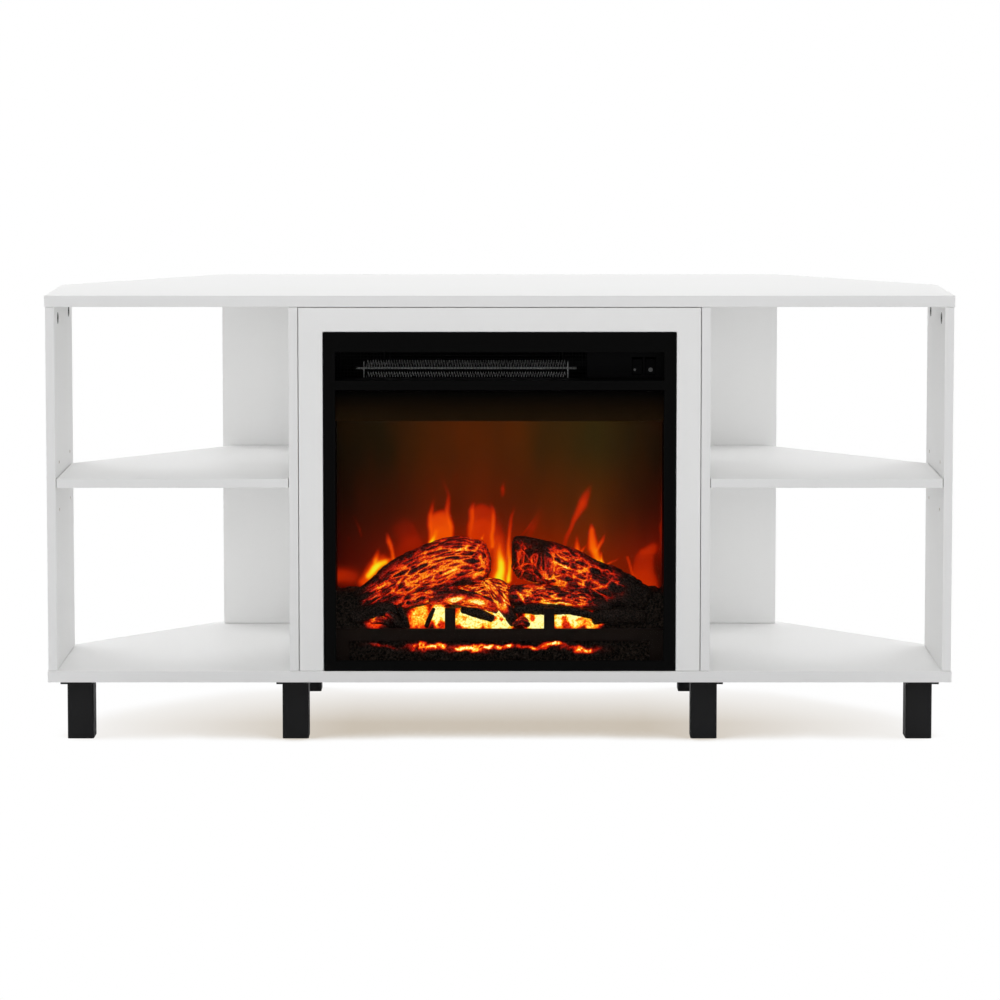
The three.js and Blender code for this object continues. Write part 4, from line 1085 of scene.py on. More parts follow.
@dataclass
class FireplaceShell:
    """The insert's trim, glass, sheet-steel case and fixings.

    Attributes:
        trim_ease: Radius of the trim's edges.
        sheet_ease: Radius of the case's folds.
        screw: Radius and height of a sheet-metal screw's head.
        screw_margin: Distance of the back cover's screws from its edges.
        louvre_rows: Lower edge of each row of louvre slots.
        louvre_count: Slots in a row.
        louvre_pitch: Spacing of the slots.
        louvre_length: Length of a blade.
        blade_gap: Gap between the back cover and a blade's head.
        blade_depth: How far a blade reaches into the case.
        blade_head: Upper and lower edge of its head, over the slot's lower edge.
        blade_foot: Lower and upper edge of its foot.
        baffle_drop: How far the intake baffle hangs under the lid.
        baffle_sheet: Thickness of its sheet.
        baffle_reach: How far it reaches before and behind the blower wheel.
    """

    trim_ease: float = 0.8
    sheet_ease: float = 0.4
    screw: Pair = (3.6, 2.0)
    screw_margin: float = 12.0
    louvre_rows: Pair = (495.8, 191.8)
    louvre_count: int = 7
    louvre_pitch: float = 56.2
    louvre_length: float = 46.0
    blade_gap: float = 0.2
    blade_depth: float = 9.0
    blade_head: Pair = (5.5, 4.7)
    blade_foot: Pair = (-6.0, -5.0)
    baffle_drop: float = 5.5
    baffle_sheet: float = 1.0
    baffle_reach: float = 24.0

    def build(self) -> None:
        """Dresses the shell and adds its small parts."""
        dress("front_frame", ENAMEL, self.trim_ease, steps=3)
        # the ceiling's lower edge carries the fire's light, painted as a warm brown
        dress("firebox_ceiling", ENAMEL_WITH_PAINTED_FIRELIGHT, self.sheet_ease)
        dress("glass_pane", GLASS)
        for part in ("insert_wrapper", "insert_top_cover", "insert_back_cover"):
            dress(part, CASE_COAT, self.sheet_ease)
        dress("cord_gland", ABS, self.sheet_ease)
        for side in BOTH:
            dress(f"{side}_mount_bracket", ZINC_PLATE, self.sheet_ease)
        self.louvre_blades()
        self.intake_baffle()
        self.screws()

    def intake_baffle(self) -> None:
        """Hangs the bent baffle under the lid's air intakes, which keeps the blower out of sight."""
        wheel_low, wheel_high = node_box("blower_wheel")
        under = node_box("insert_wrapper")[1][2]
        left, right = wheel_low[0], wheel_high[0]
        thick, floor = self.baffle_sheet, under - self.baffle_drop
        outline = [(left, under), (left, floor), (right, floor), (right, under)]
        outline += [(right - thick, under), (right - thick, floor + thick)]
        outline += [(left + thick, floor + thick), (left + thick, under)]
        shape = Shape()
        shape.strip(outline, wheel_low[1] - self.baffle_reach, wheel_high[1] + self.baffle_reach)
        shape.piece("intake_baffle", CASE_COAT, Slot.CASE)

    def screws(self) -> None:
        """Puts the pan-head screws round the back cover's edge, at its corners and between them."""
        low, high = node_box("insert_back_cover")
        inset = self.screw_margin
        sides = (low[0] + inset, 0.0, high[0] - inset)
        heights = (low[2] + inset, (low[2] + high[2]) / 2, high[2] - inset)
        shape = Shape()
        for x, z in product(sides, heights):
            if (x, z) != (0.0, heights[1]):
                shape.dome((x, high[1], z), (0, 1, 0), *self.screw)
        shape.piece("back_cover_screws", ZINC_PLATE, Slot.ZINC, smooth=40)

    def louvre_blades(self) -> None:
        """Hangs a slanted blade inside each louvre slot of the back cover."""
        cover = node_box("insert_back_cover")[0][1]
        near, far = cover - self.blade_gap, cover - self.blade_depth
        profile = [(near, height) for height in self.blade_head]
        profile += [(far, height) for height in self.blade_foot]
        half = self.louvre_length / 2
        faces = [(0, 1, 2, 3), (7, 6, 5, 4)] + [(i, i + 4, (i + 1) % 4 + 4, (i + 1) % 4) for i in range(4)]
        shape = Shape()
        for row, column in product(self.louvre_rows, range(self.louvre_count)):
            x = (column - (self.louvre_count - 1) / 2) * self.louvre_pitch
            ends = (x - half, x + half)
            shape.grow([(end, y, row + height) for end in ends for y, height in profile], faces)
        shape.piece("louvre_blades", CASE_COAT, Slot.CASE)


@dataclass
class HeaterOutlet:
    """The warm-air slot above the window: its wire mesh, heater, blower and controls.

    Attributes:
        mesh_pitch: Spacing of the mesh's wires.
        wire_radius: Radius of a wire.
        fin_pitch: Spacing of the heater's folds.
        fin_thickness: Thickness of the folded strip, drawn thicker than the real 0.2 mm so that it shows.
        fin_rows: Lowest and highest z of each row of fins.
        fin_margin: Distance from the bar's ends to the fins.
        fin_inset: How far the fins stay inside the bar's depth.
        bar_z: Middle height of the element's bar.
        bar_height: Height of the bar.
        bar_back: How far its back stays inside the element's.
        end_sheet: Thickness of the two end sheets on the tray.
        sheet_places: Where each sheet starts, from the nearer end of the fins.
        sheet_drop: How far the sheets end below the fins' top.
        chamfer: Width of the bar's and the sheets' broken edges.
        eases: Radii of the moulded controls' and the motor can's edges.
        rocker_face: Depth of the rockers' lower faces.
        highlight_z: Height of the painted highlights on them.
        highlight_sides: Sides of a painted highlight's outline.
        power_highlight: How far the power rocker's painted highlight, a dot, is from its middle, and half its
            width and height.
        spot: The same for the heat rocker's painted highlight, a larger spot.
        paint: Thickness of the painted highlights.
    """

    mesh_pitch: float = 4.4
    wire_radius: float = 0.22
    fin_pitch: float = 3.46
    fin_thickness: float = 0.7
    fin_rows: tuple[Pair, ...] = ((482.2, 489.6), (495.6, 505.2))
    fin_margin: float = 14.0
    fin_inset: float = 2.0
    bar_z: float = 494.2
    bar_height: float = 1.2
    bar_back: float = 1.0
    end_sheet: float = 1.0
    sheet_places: Pair = (-4.0, 2.0)
    sheet_drop: float = 2.0
    chamfer: float = 0.3
    eases: Pair = (0.5, 0.4)
    rocker_face: float = -159.8
    highlight_z: float = 493.2
    highlight_sides: int = 24
    # painted highlights on the rockers: where each sits and its size
    power_highlight: Triple = (-3.6, 1.7, 1.7)
    spot: Triple = (0.0, 3.0, 2.9)
    paint: float = 0.06

    def build(self) -> None:
        """Makes the mesh and heater and dresses the rest."""
        self.wire_mesh()
        self.heater()
        for part in ("control_panel", "power_rocker", "heat_rocker"):
            dress(part, ABS, self.eases[0])
        # the rockers' grey dot and spot are painted highlights
        self.paint_highlights()
        dress("blower_wheel", DARK_CAN)
        dress("blower_housing", ENAMEL)
        dress("blower_motor", DARK_CAN, self.eases[1])

    def paint_highlights(self) -> None:
        """Paints grey highlights, a dot and a spot, on the rockers' lower faces where light glints on them.
        """
        # grey patches painted where light glints on the rockers
        rows = (
            ("power_rocker_painted_highlight", "power_rocker", Body.POWER_SWITCH, self.power_highlight),
            ("heat_rocker_painted_highlight", "heat_rocker", Body.HEAT_SWITCH, self.spot),
        )
        turns = np.arange(self.highlight_sides) * 2 * math.pi / self.highlight_sides
        for name, rocker, body, (aside, wide, tall) in rows:
            low, high = node_box(rocker)
            x = (low[0] + high[0]) / 2 + aside + wide * np.cos(turns)
            z = self.highlight_z + tall * np.sin(turns)
            shape = Shape()
            shape.strip(list(zip(x, z)), self.rocker_face - self.paint, self.rocker_face + self.paint)
            shape.piece(name, PAINTED_HIGHLIGHT, Slot.PLASTIC, body)

    def wire_mesh(self) -> None:
        """Weaves the grille's upright and level wires."""
        low, high = node_box("outlet_grille")
        shape = Shape()
        r = self.wire_radius
        for x in np.arange(low[0] + r, high[0] - r, self.mesh_pitch):
            shape.wire((x, low[1] + r, low[2]), (x, low[1] + r, high[2]), r)
        for z in np.arange(low[2] + r, high[2] - r, self.mesh_pitch):
            shape.wire((low[0], high[1] - r, z), (high[0], high[1] - r, z), r)
        shape.piece("outlet_wire_mesh", MESH_WIRE, Slot.MESH_STEEL, replaced=["outlet_grille"], smooth=60)

    def heater(self) -> None:
        """Folds the heater's fins along its bar."""
        low, high = node_box("heater_element")
        shape = Shape()
        foot, head = self.bar_z - self.bar_height / 2, self.bar_z + self.bar_height / 2
        shape.block((low[0], low[1], foot), (high[0], high[1] - self.bar_back, head), self.chamfer)
        ends = low[0] + self.fin_margin, high[0] - self.fin_margin
        front, back = low[1] + self.fin_inset, high[1] - self.fin_inset
        top = self.fin_rows[1][1] - self.sheet_drop
        for end, place in zip(ends, self.sheet_places):
            x = end + place
            shape.block((x, front, low[2]), (x + self.end_sheet, back, top), self.chamfer)
        for row in self.fin_rows:
            shape.strip(self.folds(*ends, *row), front, back)
        shape.piece("heater_fins", FINS, Slot.HEATER, replaced=["heater_element"], smooth=30)

    def folds(self, first: float, last: float, bottom: float, top: float) -> list[Pair]:
        """Outlines one zigzag strip.

        Args:
            first: Left end.
            last: Right end.
            bottom: Lowest z.
            top: Highest z.

        Returns:
            The strip's outline, out along its upper side and back along its lower one.
        """
        count = 2 * int((last - first) / self.fin_pitch)
        step = (last - first) / count
        thick = self.fin_thickness
        zigzag = [(first + step * i, top if i % 2 else bottom + thick) for i in range(count + 1)]
        return zigzag + [(x, z - thick) for x, z in reversed(zigzag)]


@dataclass(frozen=True)
class Glow:
    """A soft elongated patch where the lamps shine through, as it shows from the front.

    Attributes:
        x: Middle of the patch.
        z: Height of its middle.
        length: Half its length.
        width: Half its width.
        tilt: Its slope in degrees, rising to the right.
        heat: How bright it is, from 0 to 1.
        even: How even it is; 0 shows only in the cracks and 1 fills it.
        edge: How sharply it ends.
    """

    x: float
    z: float
    length: float
    width: float
    tilt: float = 0.0
    heat: float = 1.0
    even: float = 0.5
    edge: float = 1.6

    def at(self, points: Array, cracks: Array) -> Array:
        """Gives the heat of the patch at each point.

        Args:
            points: Points, one row each.
            cracks: 1 in a crack and 0 away from it.

        Returns:
            Heat at each point.
        """
        turn = math.radians(self.tilt)
        dx, dz = points[:, 0] - self.x, points[:, 2] - self.z
        along = (dx * math.cos(turn) + dz * math.sin(turn)) / self.length
        across = (dz * math.cos(turn) - dx * math.sin(turn)) / self.width
        inside = np.exp(-((along**2 + across**2) ** self.edge))
        return self.heat * inside * (self.even + (1 - self.even) * cracks)


def hottest(glows: Iterable[Glow], points: Array, cracks: Array) -> Array:
    """Gives the heat of the hottest patch at each point.

    Args:
        glows: The patches.
        points: Points, one row each.
        cracks: 1 in a crack and 0 away from it.

    Returns:
        Heat at each point, and 0 where there is no patch.
    """
    heat = np.zeros(len(points))
    for glow in glows:
        heat = np.maximum(heat, glow.at(points, cracks))
    return heat


@dataclass(frozen=True)
class Bark:
    """The relief of charred bark.

    Attributes:
        seed: Seed of its plates.
        plate: Mean length of a plate along x, y and z.
        groove: Depth of the cracks.
        plate_rise: How far the plates differ in height.
        knots: Height of the broad bumps.
        grain: Height of the fine bumps.
        bend: How far the cracks wander.
        crack: Width of a crack's groove, as a share of its plate.
        vein: Width of the glowing line in a crack.
        skirt: Width of the faint glow beside it.
        split: Width of the fine splits, as a share of the small plates between them.
        split_scale: Size of those plates, as a share of the large ones.
        split_depth: Depth of the splits.
        strand: Width of a glowing fibre, as a share of the fibres' noise.
        fibre: Size of the fibres.
        fibre_stretch: How much longer they are along the wood.
    """

    seed: int
    plate: Triple = (19.0, 12.0, 9.0)
    groove: float = 2.0
    plate_rise: float = 1.5
    knots: float = 3.0
    grain: float = 1.0
    bend: Triple = (10.0, 10.0, 10.0)
    crack: float = 0.14
    vein: float = 0.09
    skirt: float = 0.4
    split: float = 0.15
    split_scale: float = 0.42
    split_depth: float = 0.4
    strand: float = 0.045
    fibre: float = 4.4
    fibre_stretch: float = 4.5

    def noise(self, points: Array, offset: int, size: float, octaves: int = 2) -> Array:
        """Evaluates one of the bark's noises.

        Args:
            points: Points, one row each.
            offset: Which noise, added to the seed.
            size: Length of its largest features.
            octaves: How many finer layers it has.

        Returns:
            One value for each point.
        """
        return ValueNoise(self.seed + offset, size, octaves)(points)

    def relief(self, points: Array) -> tuple[Array, Array]:
        """Works out the relief.

        Args:
            points: Points on the smooth form.

        Returns:
            Height above the smooth form, and the share of the glow that gets through, up to 1 in a crack.
        """
        place = points + (self.noise(points, 1, 18.0)[:, None] - 0.5) * self.bend
        border, tone = Cells(self.seed, self.plate)(place)
        minor, shade = Cells(self.seed + 5, tuple(self.split_scale * side for side in self.plate))(place)
        splits = close_to(minor, self.split) * smoothstep(0.4, 0.6, self.noise(points, 6, 12.0))
        knots = self.noise(points, 2, 34.0) - 0.5
        grain = self.noise(points, 3, 5.0, 3) - 0.5
        height = self.knots * knots * 2 + self.grain * grain * 2 + self.plate_rise * (tone - 0.5)
        height = height - self.groove * close_to(border, self.crack) - self.split_depth * splits
        lit = smoothstep(0.32, 0.68, self.noise(points, 4, 13.0))
        fibres = self.noise(place / (self.fibre_stretch, 1.0, 1.0), 7, self.fibre, 3) - 0.5
        veins = close_to(border, self.vein) * (0.4 + 0.6 * lit)
        strands = close_to(fibres, self.strand) * smoothstep(0.3, 0.55, tone) * (0.45 + 0.55 * lit)
        skirts = close_to(border, self.skirt) * 0.46 * lit
        return height, np.clip(veins + 0.5 * splits + 0.62 * strands + skirts + 0.2 - 0.3 * shade, 0, 1)


@dataclass(frozen=True)
class Stick:
    """A charred log or twig along a bent line.

    Attributes:
        line: Middle and radius (x, z, radius) at places from the left end to the right end.
        y: Depth of the line.
        bark: Its relief.
        glows: Where light shows through it.
        sawn: Slant of a flat sawn left end in mm of x for each mm of y, or None where it is rounded.
        squared: How square its section is at the sawn end; 1 is round and less is squarer.
        sawn_run: Over what length from that end the slant and the square section fade.
        rounded: How square its section is elsewhere.
        bulge: How far a rounded end bulges, as a share of its radius.
        full_radius: Radius from which on the relief has its full height.
        wander: How far the glows wander along x, y and z.
        facing: From what turn to the front a face glows, and from what turn fully.
        step: Spacing of the mesh.
    """

    line: tuple[Triple, ...]
    y: float
    bark: Bark
    glows: tuple[Glow, ...] = ()
    sawn: Optional[float] = None
    squared: float = 1.0
    sawn_run: float = 45.0
    rounded: float = 0.9
    bulge: float = 0.55
    full_radius: float = 6.0
    wander: Triple = (5.0, 0.0, 7.0)
    facing: Pair = (-0.7, 0.1)
    step: float = 1.6

    def rings(self) -> tuple[Array, Array]:
        """Spaces the rings from end to end.

        Returns:
            Middle (x, z) of each ring, and its radius.
        """
        knots = np.array(self.line)
        lengths = np.concatenate([[0], np.cumsum(np.hypot(*np.diff(knots[:, :2], axis=0).T))])
        count = max(int(lengths[-1] / self.step), 6)
        places = np.linspace(0, lengths[-1], count)
        spread = [self.smooth(lengths, knots[:, k], places) for k in range(3)]
        middles, radii = np.stack(spread[:2], axis=1), spread[2]
        quarter = math.pi / 2
        for end in (0, -1):
            inward = middles[1] - middles[0] if end == 0 else middles[-2] - middles[-1]
            inward /= np.linalg.norm(inward)
            flat = end == 0 and self.sawn is not None
            turns = np.linspace(quarter, 0, max(int(radii[end] / self.step), 4), endpoint=False)
            bulge = 0.0 if flat else self.bulge
            cap = np.array([middles[end] - inward * radii[end] * bulge * math.sin(t) for t in turns])
            sizes = radii[end] * (1 - turns / quarter if flat else np.cos(turns))
            sizes[0] = 0.0
            if end == 0:
                middles, radii = np.concatenate([cap, middles]), np.concatenate([sizes, radii])
            else:
                middles, radii = np.concatenate([middles, cap[::-1]]), np.concatenate([radii, sizes[::-1]])
        return middles, radii

    def smooth(self, places: Array, values: Array, wanted: Array) -> Array:
        """Runs a rounded line through the knots.

        Args:
            places: Places of the knots.
            values: Their values.
            wanted: Places to evaluate.

        Returns:
            The value at each wanted place.
        """
        slopes = np.gradient(values, places)
        index = np.clip(np.searchsorted(places, wanted, side="right") - 1, 0, len(places) - 2)
        gap = places[index + 1] - places[index]
        t = (wanted - places[index]) / gap
        first = (2 * t**3 - 3 * t**2 + 1) * values[index] + (t**3 - 2 * t**2 + t) * gap * slopes[index]
        second = (3 * t**2 - 2 * t**3) * values[index + 1] + (t**3 - t**2) * gap * slopes[index + 1]
        return first + second

    def skin(self, middles: Array, radii: Array, turn: Array) -> Array:
        """Lays the smooth form round the line.

        Args:
            middles: Middle (x, z) of each ring.
            radii: Radius of each ring.
            turn: Angle of each side.

        Returns:
            Points by ring and side.
        """
        ahead = np.gradient(middles, axis=0)
        ahead /= np.maximum(np.linalg.norm(ahead, axis=1), 1e-6)[:, None]
        near = 1 - smoothstep(0, self.sawn_run, middles[:, 0] - middles[0, 0])
        near = near[:, None] * (self.sawn is not None)
        ahead = ahead * (1 - near) + np.array([[1.0, 0.0]]) * near
        power = self.squared * near + self.rounded * (1 - near)
        upward = np.sign(np.sin(turn)) * np.abs(np.sin(turn)) ** power
        forward = np.sign(np.cos(turn)) * np.abs(np.cos(turn)) ** power
        x = middles[:, 0, None] - ahead[:, 1, None] * radii[:, None] * upward
        z = middles[:, 1, None] + ahead[:, 0, None] * radii[:, None] * upward
        y = self.y - radii[:, None] * forward
        if self.sawn is not None:
            x = x - self.sawn * (y - self.y) * near
        return np.stack([x, y, z], axis=-1)

    def outward(self, grid: Array) -> Array:
        """Finds which way the form faces.

        Args:
            grid: Points by ring and side.

        Returns:
            A direction for each point, one row each, and zeros where an end closes.
        """
        along = np.gradient(grid, axis=0)
        around = np.roll(grid, -1, axis=1) - np.roll(grid, 1, axis=1)
        normal = np.cross(along, around)
        size = np.linalg.norm(normal, axis=-1, keepdims=True)
        return np.where(size > 1e-6, normal / np.maximum(size, 1e-6), 0).reshape(-1, 3)

    def add_to(self, shape: Shape) -> None:
        """Adds the stick to a shape, with its heat.

        Args:
            shape: The shape.
        """
        middles, radii = self.rings()
        sides = max(int(2 * math.pi * radii.max() / self.step), 10)
        turn = np.arange(sides) * 2 * math.pi / sides
        grid = self.skin(middles, radii, turn)
        normal = self.outward(grid)
        lengths = np.concatenate([[0], np.cumsum(np.linalg.norm(np.diff(middles, axis=0), axis=1))])
        round_y, round_z = radii[:, None] * np.cos(turn), radii[:, None] * np.sin(turn)
        straight = side_by_side(np.repeat(lengths, sides), round_y.ravel(), round_z.ravel())
        height, cracks = self.bark.relief(straight)
        share = np.repeat(np.minimum(radii / self.full_radius, 1.0), sides)
        points = grid.reshape(-1, 3) + normal * (height * share)[:, None]
        wander = (self.bark.noise(points, 8, 9.0)[:, None] - 0.5) * self.wander
        heat = hottest(self.glows, points + wander, cracks) * smoothstep(*self.facing, -normal[:, 1])
        poles = [points[:sides].mean(axis=0), points[-sides:].mean(axis=0)]
        body = points[sides:-sides]
        last, final_ring = len(body), len(body) - sides
        faces = tube_faces(len(middles) - 2, sides)
        for i in range(sides):
            following = (i + 1) % sides
            faces.append((last, following, i))
            faces.append((last + 1, final_ring + i, final_ring + following))
        shape.grow(np.vstack([body, poles]), faces)
        shape.values.setdefault(HEAT, []).extend([*heat[sides:-sides], 0.0, 0.0])


@dataclass
class LogSet:
    """The charred logs on their bed of embers, and the grate before them.

    Attributes:
        log_y: Depth of the logs' middle line.
        seam_even: How even the glowing seams in the logs are.
        slope_run: How far the bed rises behind the grate.
        front_rise: Height of the bed's front face.
        rear_rise: Height of the bed behind the slope.
        brow: From how far below to how far above the front face's top the lumps turn upwards.
        mound: How much higher the bed's ends rise.
        mound_length: Length of that rise.
        mound_inset: The mounds are full from here to the sides.
        mound_run: Between which distances from the front they rise.
        side_run: Over what distance from the sides the lumps start.
        sink: How much lower the lumps lie on the bed's top.
        hollow: Height of the lumps below which the front face is pushed back, and how far for each mm.
        log_gap: How far the logs sink into the bed.
        wander: How far the bed's glows wander along x, y and z.
        window_look: How even the glow between the posts is, and how sharply it ends.
        strip_look: Slope in degrees of the glow under the grate, how much brighter it is, and how even.
        grate_ease: Radius of the grate's edges.
        step: Spacing of the bed's mesh.
        log_step: Spacing of the logs' mesh.
    """

    log_y: float = -125.4
    seam_even: float = 0.8
    slope_run: float = 40.0
    front_rise: float = 34.0
    rear_rise: float = 70.0
    brow: Pair = (4.0, 8.0)
    mound: float = 22.0
    mound_length: float = 100.0
    mound_inset: float = 30.0
    mound_run: Pair = (10.0, 40.0)
    side_run: float = 4.0
    sink: float = 1.0
    hollow: Pair = (2.0, 0.8)
    log_gap: float = 3.0
    wander: Triple = (10.0, 0.0, 11.0)
    window_look: Pair = (0.85, 3)
    strip_look: Triple = (-2.0, 1.2, 0.4)
    grate_ease: float = 0.8
    step: float = 1.6
    log_step: float = 1.1

    def build(self) -> None:
        """Makes the logs, the bed and the loose pieces."""
        for name, stick in (("left_log", self.left_log()), ("right_log", self.right_log())):
            shape = Shape()
            stick.add_to(shape)
            shape.piece(f"{name}_bark", BARK, Slot.BARK, replaced=[name], smooth=180)
        self.bed()
        self.charred_pieces()
        dress("grate", CAST_BLACK, self.grate_ease)

    def left_log(self) -> Stick:
        """Lays out the left log, which arches up towards the middle.

        Returns:
            The log.
        """
        overall = (
            Glow(-88, 226, 96, 32, 27, 0.78, 0.05, 3),
            Glow(-152, 198, 40, 16, 32, 0.72, 0.0, 2),
            Glow(-30, 228, 20, 30, 0, 0.8, 0.05, 2),
        )
        seams = (
            (-67, 221, 21, 2.6, 26, 1.1), (-91, 220, 24, 2.0, 36, 0.85), (-98, 246, 22, 1.8, 18, 0.85),
            (-50, 252, 17, 2.6, 20, 1.0), (-160, 199, 17, 2.0, 23, 0.9), (-134, 208, 9, 2.6, 48, 0.9),
            (-102, 208, 9, 2.0, 24, 0.92), (-60, 195, 14, 1.6, 24, 0.8), (-27, 238, 4, 9, 10, 0.9),
            (-33, 216, 5, 8, -20, 0.88), (-168, 186, 12, 1.6, 28, 0.75),
        )
        line = ((-184, 178, 17), (-148, 197, 26), (-108, 215, 32), (-66, 229, 34), (-28, 231, 31))
        bark = Bark(11, (44.0, 7.5, 7.5), groove=2.6, bend=(10.0, 5.0, 5.0))
        glows = overall + tuple(Glow(*seam, self.seam_even) for seam in seams)
        return Stick(line, self.log_y, bark, glows, step=self.log_step)

    def right_log(self) -> Stick:
        """Lays out the right log, with its sawn end turned to the front.

        Returns:
            The log.
        """
        overall = (
            Glow(92, 220, 50, 32, -24, 0.8, 0.06, 3),
            Glow(38, 230, 26, 32, 0, 0.64, 0.0, 3),
            Glow(74, 226, 11, 11, 0, 0.64, 0.8, 2),
            Glow(134, 208, 36, 24, -24, 0.7, 0.0, 3),
        )
        seams = (
            (84, 231, 25, 2.6, -21, 1.02), (68, 211, 11, 2.4, -14, 1.0), (45, 201, 16, 3.2, -16, 1.05),
            (78, 199, 14, 2.6, -4, 1.0), (96, 243, 26, 1.5, -24, 0.7), (138, 223, 24, 1.4, -27, 0.72),
            (118, 215, 2.0, 10, 4, 0.66),
        )
        line = ((38, 235, 30), (84, 222, 30), (127, 206, 28), (168, 189, 24), (192, 178, 20))
        bark = Bark(23, (24.0, 10.0, 10.0), groove=2.4, bend=(12.0, 8.0, 8.0))
        glows = overall + tuple(Glow(*seam, self.seam_even) for seam in seams)
        return Stick(line, self.log_y, bark, glows, sawn=0.75, squared=0.5, step=self.log_step)

    def bed(self) -> None:
        """Heaps the ember bed, which glows between its lumps."""
        low, high = node_box("ember_bed")
        across = np.arange(low[0], high[0] + self.step, self.step)
        across[-1] = high[0]
        face = np.arange(0, self.front_rise, self.step)
        run = np.linspace(0, high[1] - low[1], int((high[1] - low[1]) / self.step))
        x, t = np.meshgrid(across, np.concatenate([face, self.front_rise + run]))
        inward = np.maximum(t - self.front_rise, 0)
        rise = smoothstep(0, self.slope_run, inward)
        full = high[0] - self.mound_inset
        mound = smoothstep(full - self.mound_length, full, np.abs(x)) * smoothstep(*self.mound_run, inward)
        z = np.where(t < self.front_rise, t, self.front_rise + (self.rear_rise - self.front_rise) * rise)
        flat = side_by_side(x, low[1] + inward, low[2] + z + self.mound * mound)
        height, cracks = Bark(31, (14.0, 11.0, 11.0), groove=2.2, plate_rise=3.0, grain=1.4).relief(flat)
        gaps = (flat[:, 0] - low[0], high[0] - flat[:, 0])
        inner = math.prod(smoothstep(0, self.side_run, gap) for gap in gaps)
        below, above = self.brow
        level = smoothstep(self.front_rise - below, self.front_rise + above, t).ravel()
        flat[:, 2] += (height - self.sink) * level * inner
        hollow, push = self.hollow
        flat[:, 1] += np.maximum(hollow - height, 0) * push * (1 - level) * inner
        flat[:, 2] = np.minimum(flat[:, 2], self.under_logs(flat))
        wander = (ValueNoise(38, 15.0, 2)(flat) - 0.5)[:, None] * self.wander
        heat = hottest(self.bed_glows(), flat + wander, cracks)
        heat *= 1 - 0.5 * smoothstep(0.58, 0.72, ValueNoise(37, 11.0, 2)(flat))
        first, back, left, right = rim(*x.shape)
        foot = len(flat)
        corners = [(low[0], high[1], low[2]), (high[0], high[1], low[2])]
        closing = [back + (foot + 1, foot), left + (foot,)]
        closing += [right[::-1] + (foot + 1,), first[::-1] + (foot, foot + 1)]
        shape = Shape()
        shape.grow(np.vstack([flat, corners]), grid_faces(*x.shape) + closing)
        shape.values[HEAT] = [*heat, 0.0, 0.0]
        shape.piece("ember_bed_lumps", EMBERS, Slot.EMBERS, replaced=["ember_bed"], smooth=180)

    def under_logs(self, points: Array) -> Array:
        """Gives the height below which the bed stays clear of the logs.

        Args:
            points: Points on the bed.

        Returns:
            The height at each point, endless where no log is above it.
        """
        limit = np.full(len(points), np.inf)
        for stick in (self.left_log(), self.right_log()):
            middles, radii = stick.rings()
            body = slice(12, -12)
            x, z, r = middles[body, 0], middles[body, 1], radii[body]
            centre = np.interp(points[:, 0], x, z, left=np.inf, right=np.inf)
            radius = np.interp(points[:, 0], x, r)
            away = np.abs(points[:, 1] - stick.y)
            under = centre - np.sqrt(np.maximum(radius**2 - away**2, 0)) + self.log_gap
            limit = np.where(away < radius, np.minimum(limit, under), limit)
        return limit

    def bed_glows(self) -> list[Glow]:
        """Lists where the bed glows.

        Returns:
            The patches, as they show between the posts of the grate and under it.
        """
        windows = (
            (-106, 158, 18, 17, 0.92), (-80, 157, 15, 18, 1.2), (-34, 156, 32, 18, 1.12),
            (2, 154, 22, 18, 1.2), (50, 155, 20, 18, 1.2), (92, 155, 25, 18, 1.18),
            (124, 153, 14, 15, 0.92), (-164, 152, 16, 9, 0.7),
        )
        strip = (
            (-104, 122, 20, 6, 0.95), (-84, 123, 16, 4, 1.1), (-46, 120, 30, 5, 0.95),
            (-20, 124, 18, 3, 1.1), (14, 123, 24, 3.4, 1.1), (52, 123, 16, 3, 0.85),
            (76, 125, 18, 3, 1.15), (108, 119, 30, 5, 1.0), (-152, 123, 30, 2, 0.5),
        )
        glows = [Glow(*place, 0.0, heat, *self.window_look) for *place, heat in windows]
        tilt, brighter, even = self.strip_look
        return glows + [Glow(*place, tilt, brighter * heat, even) for *place, heat in strip]

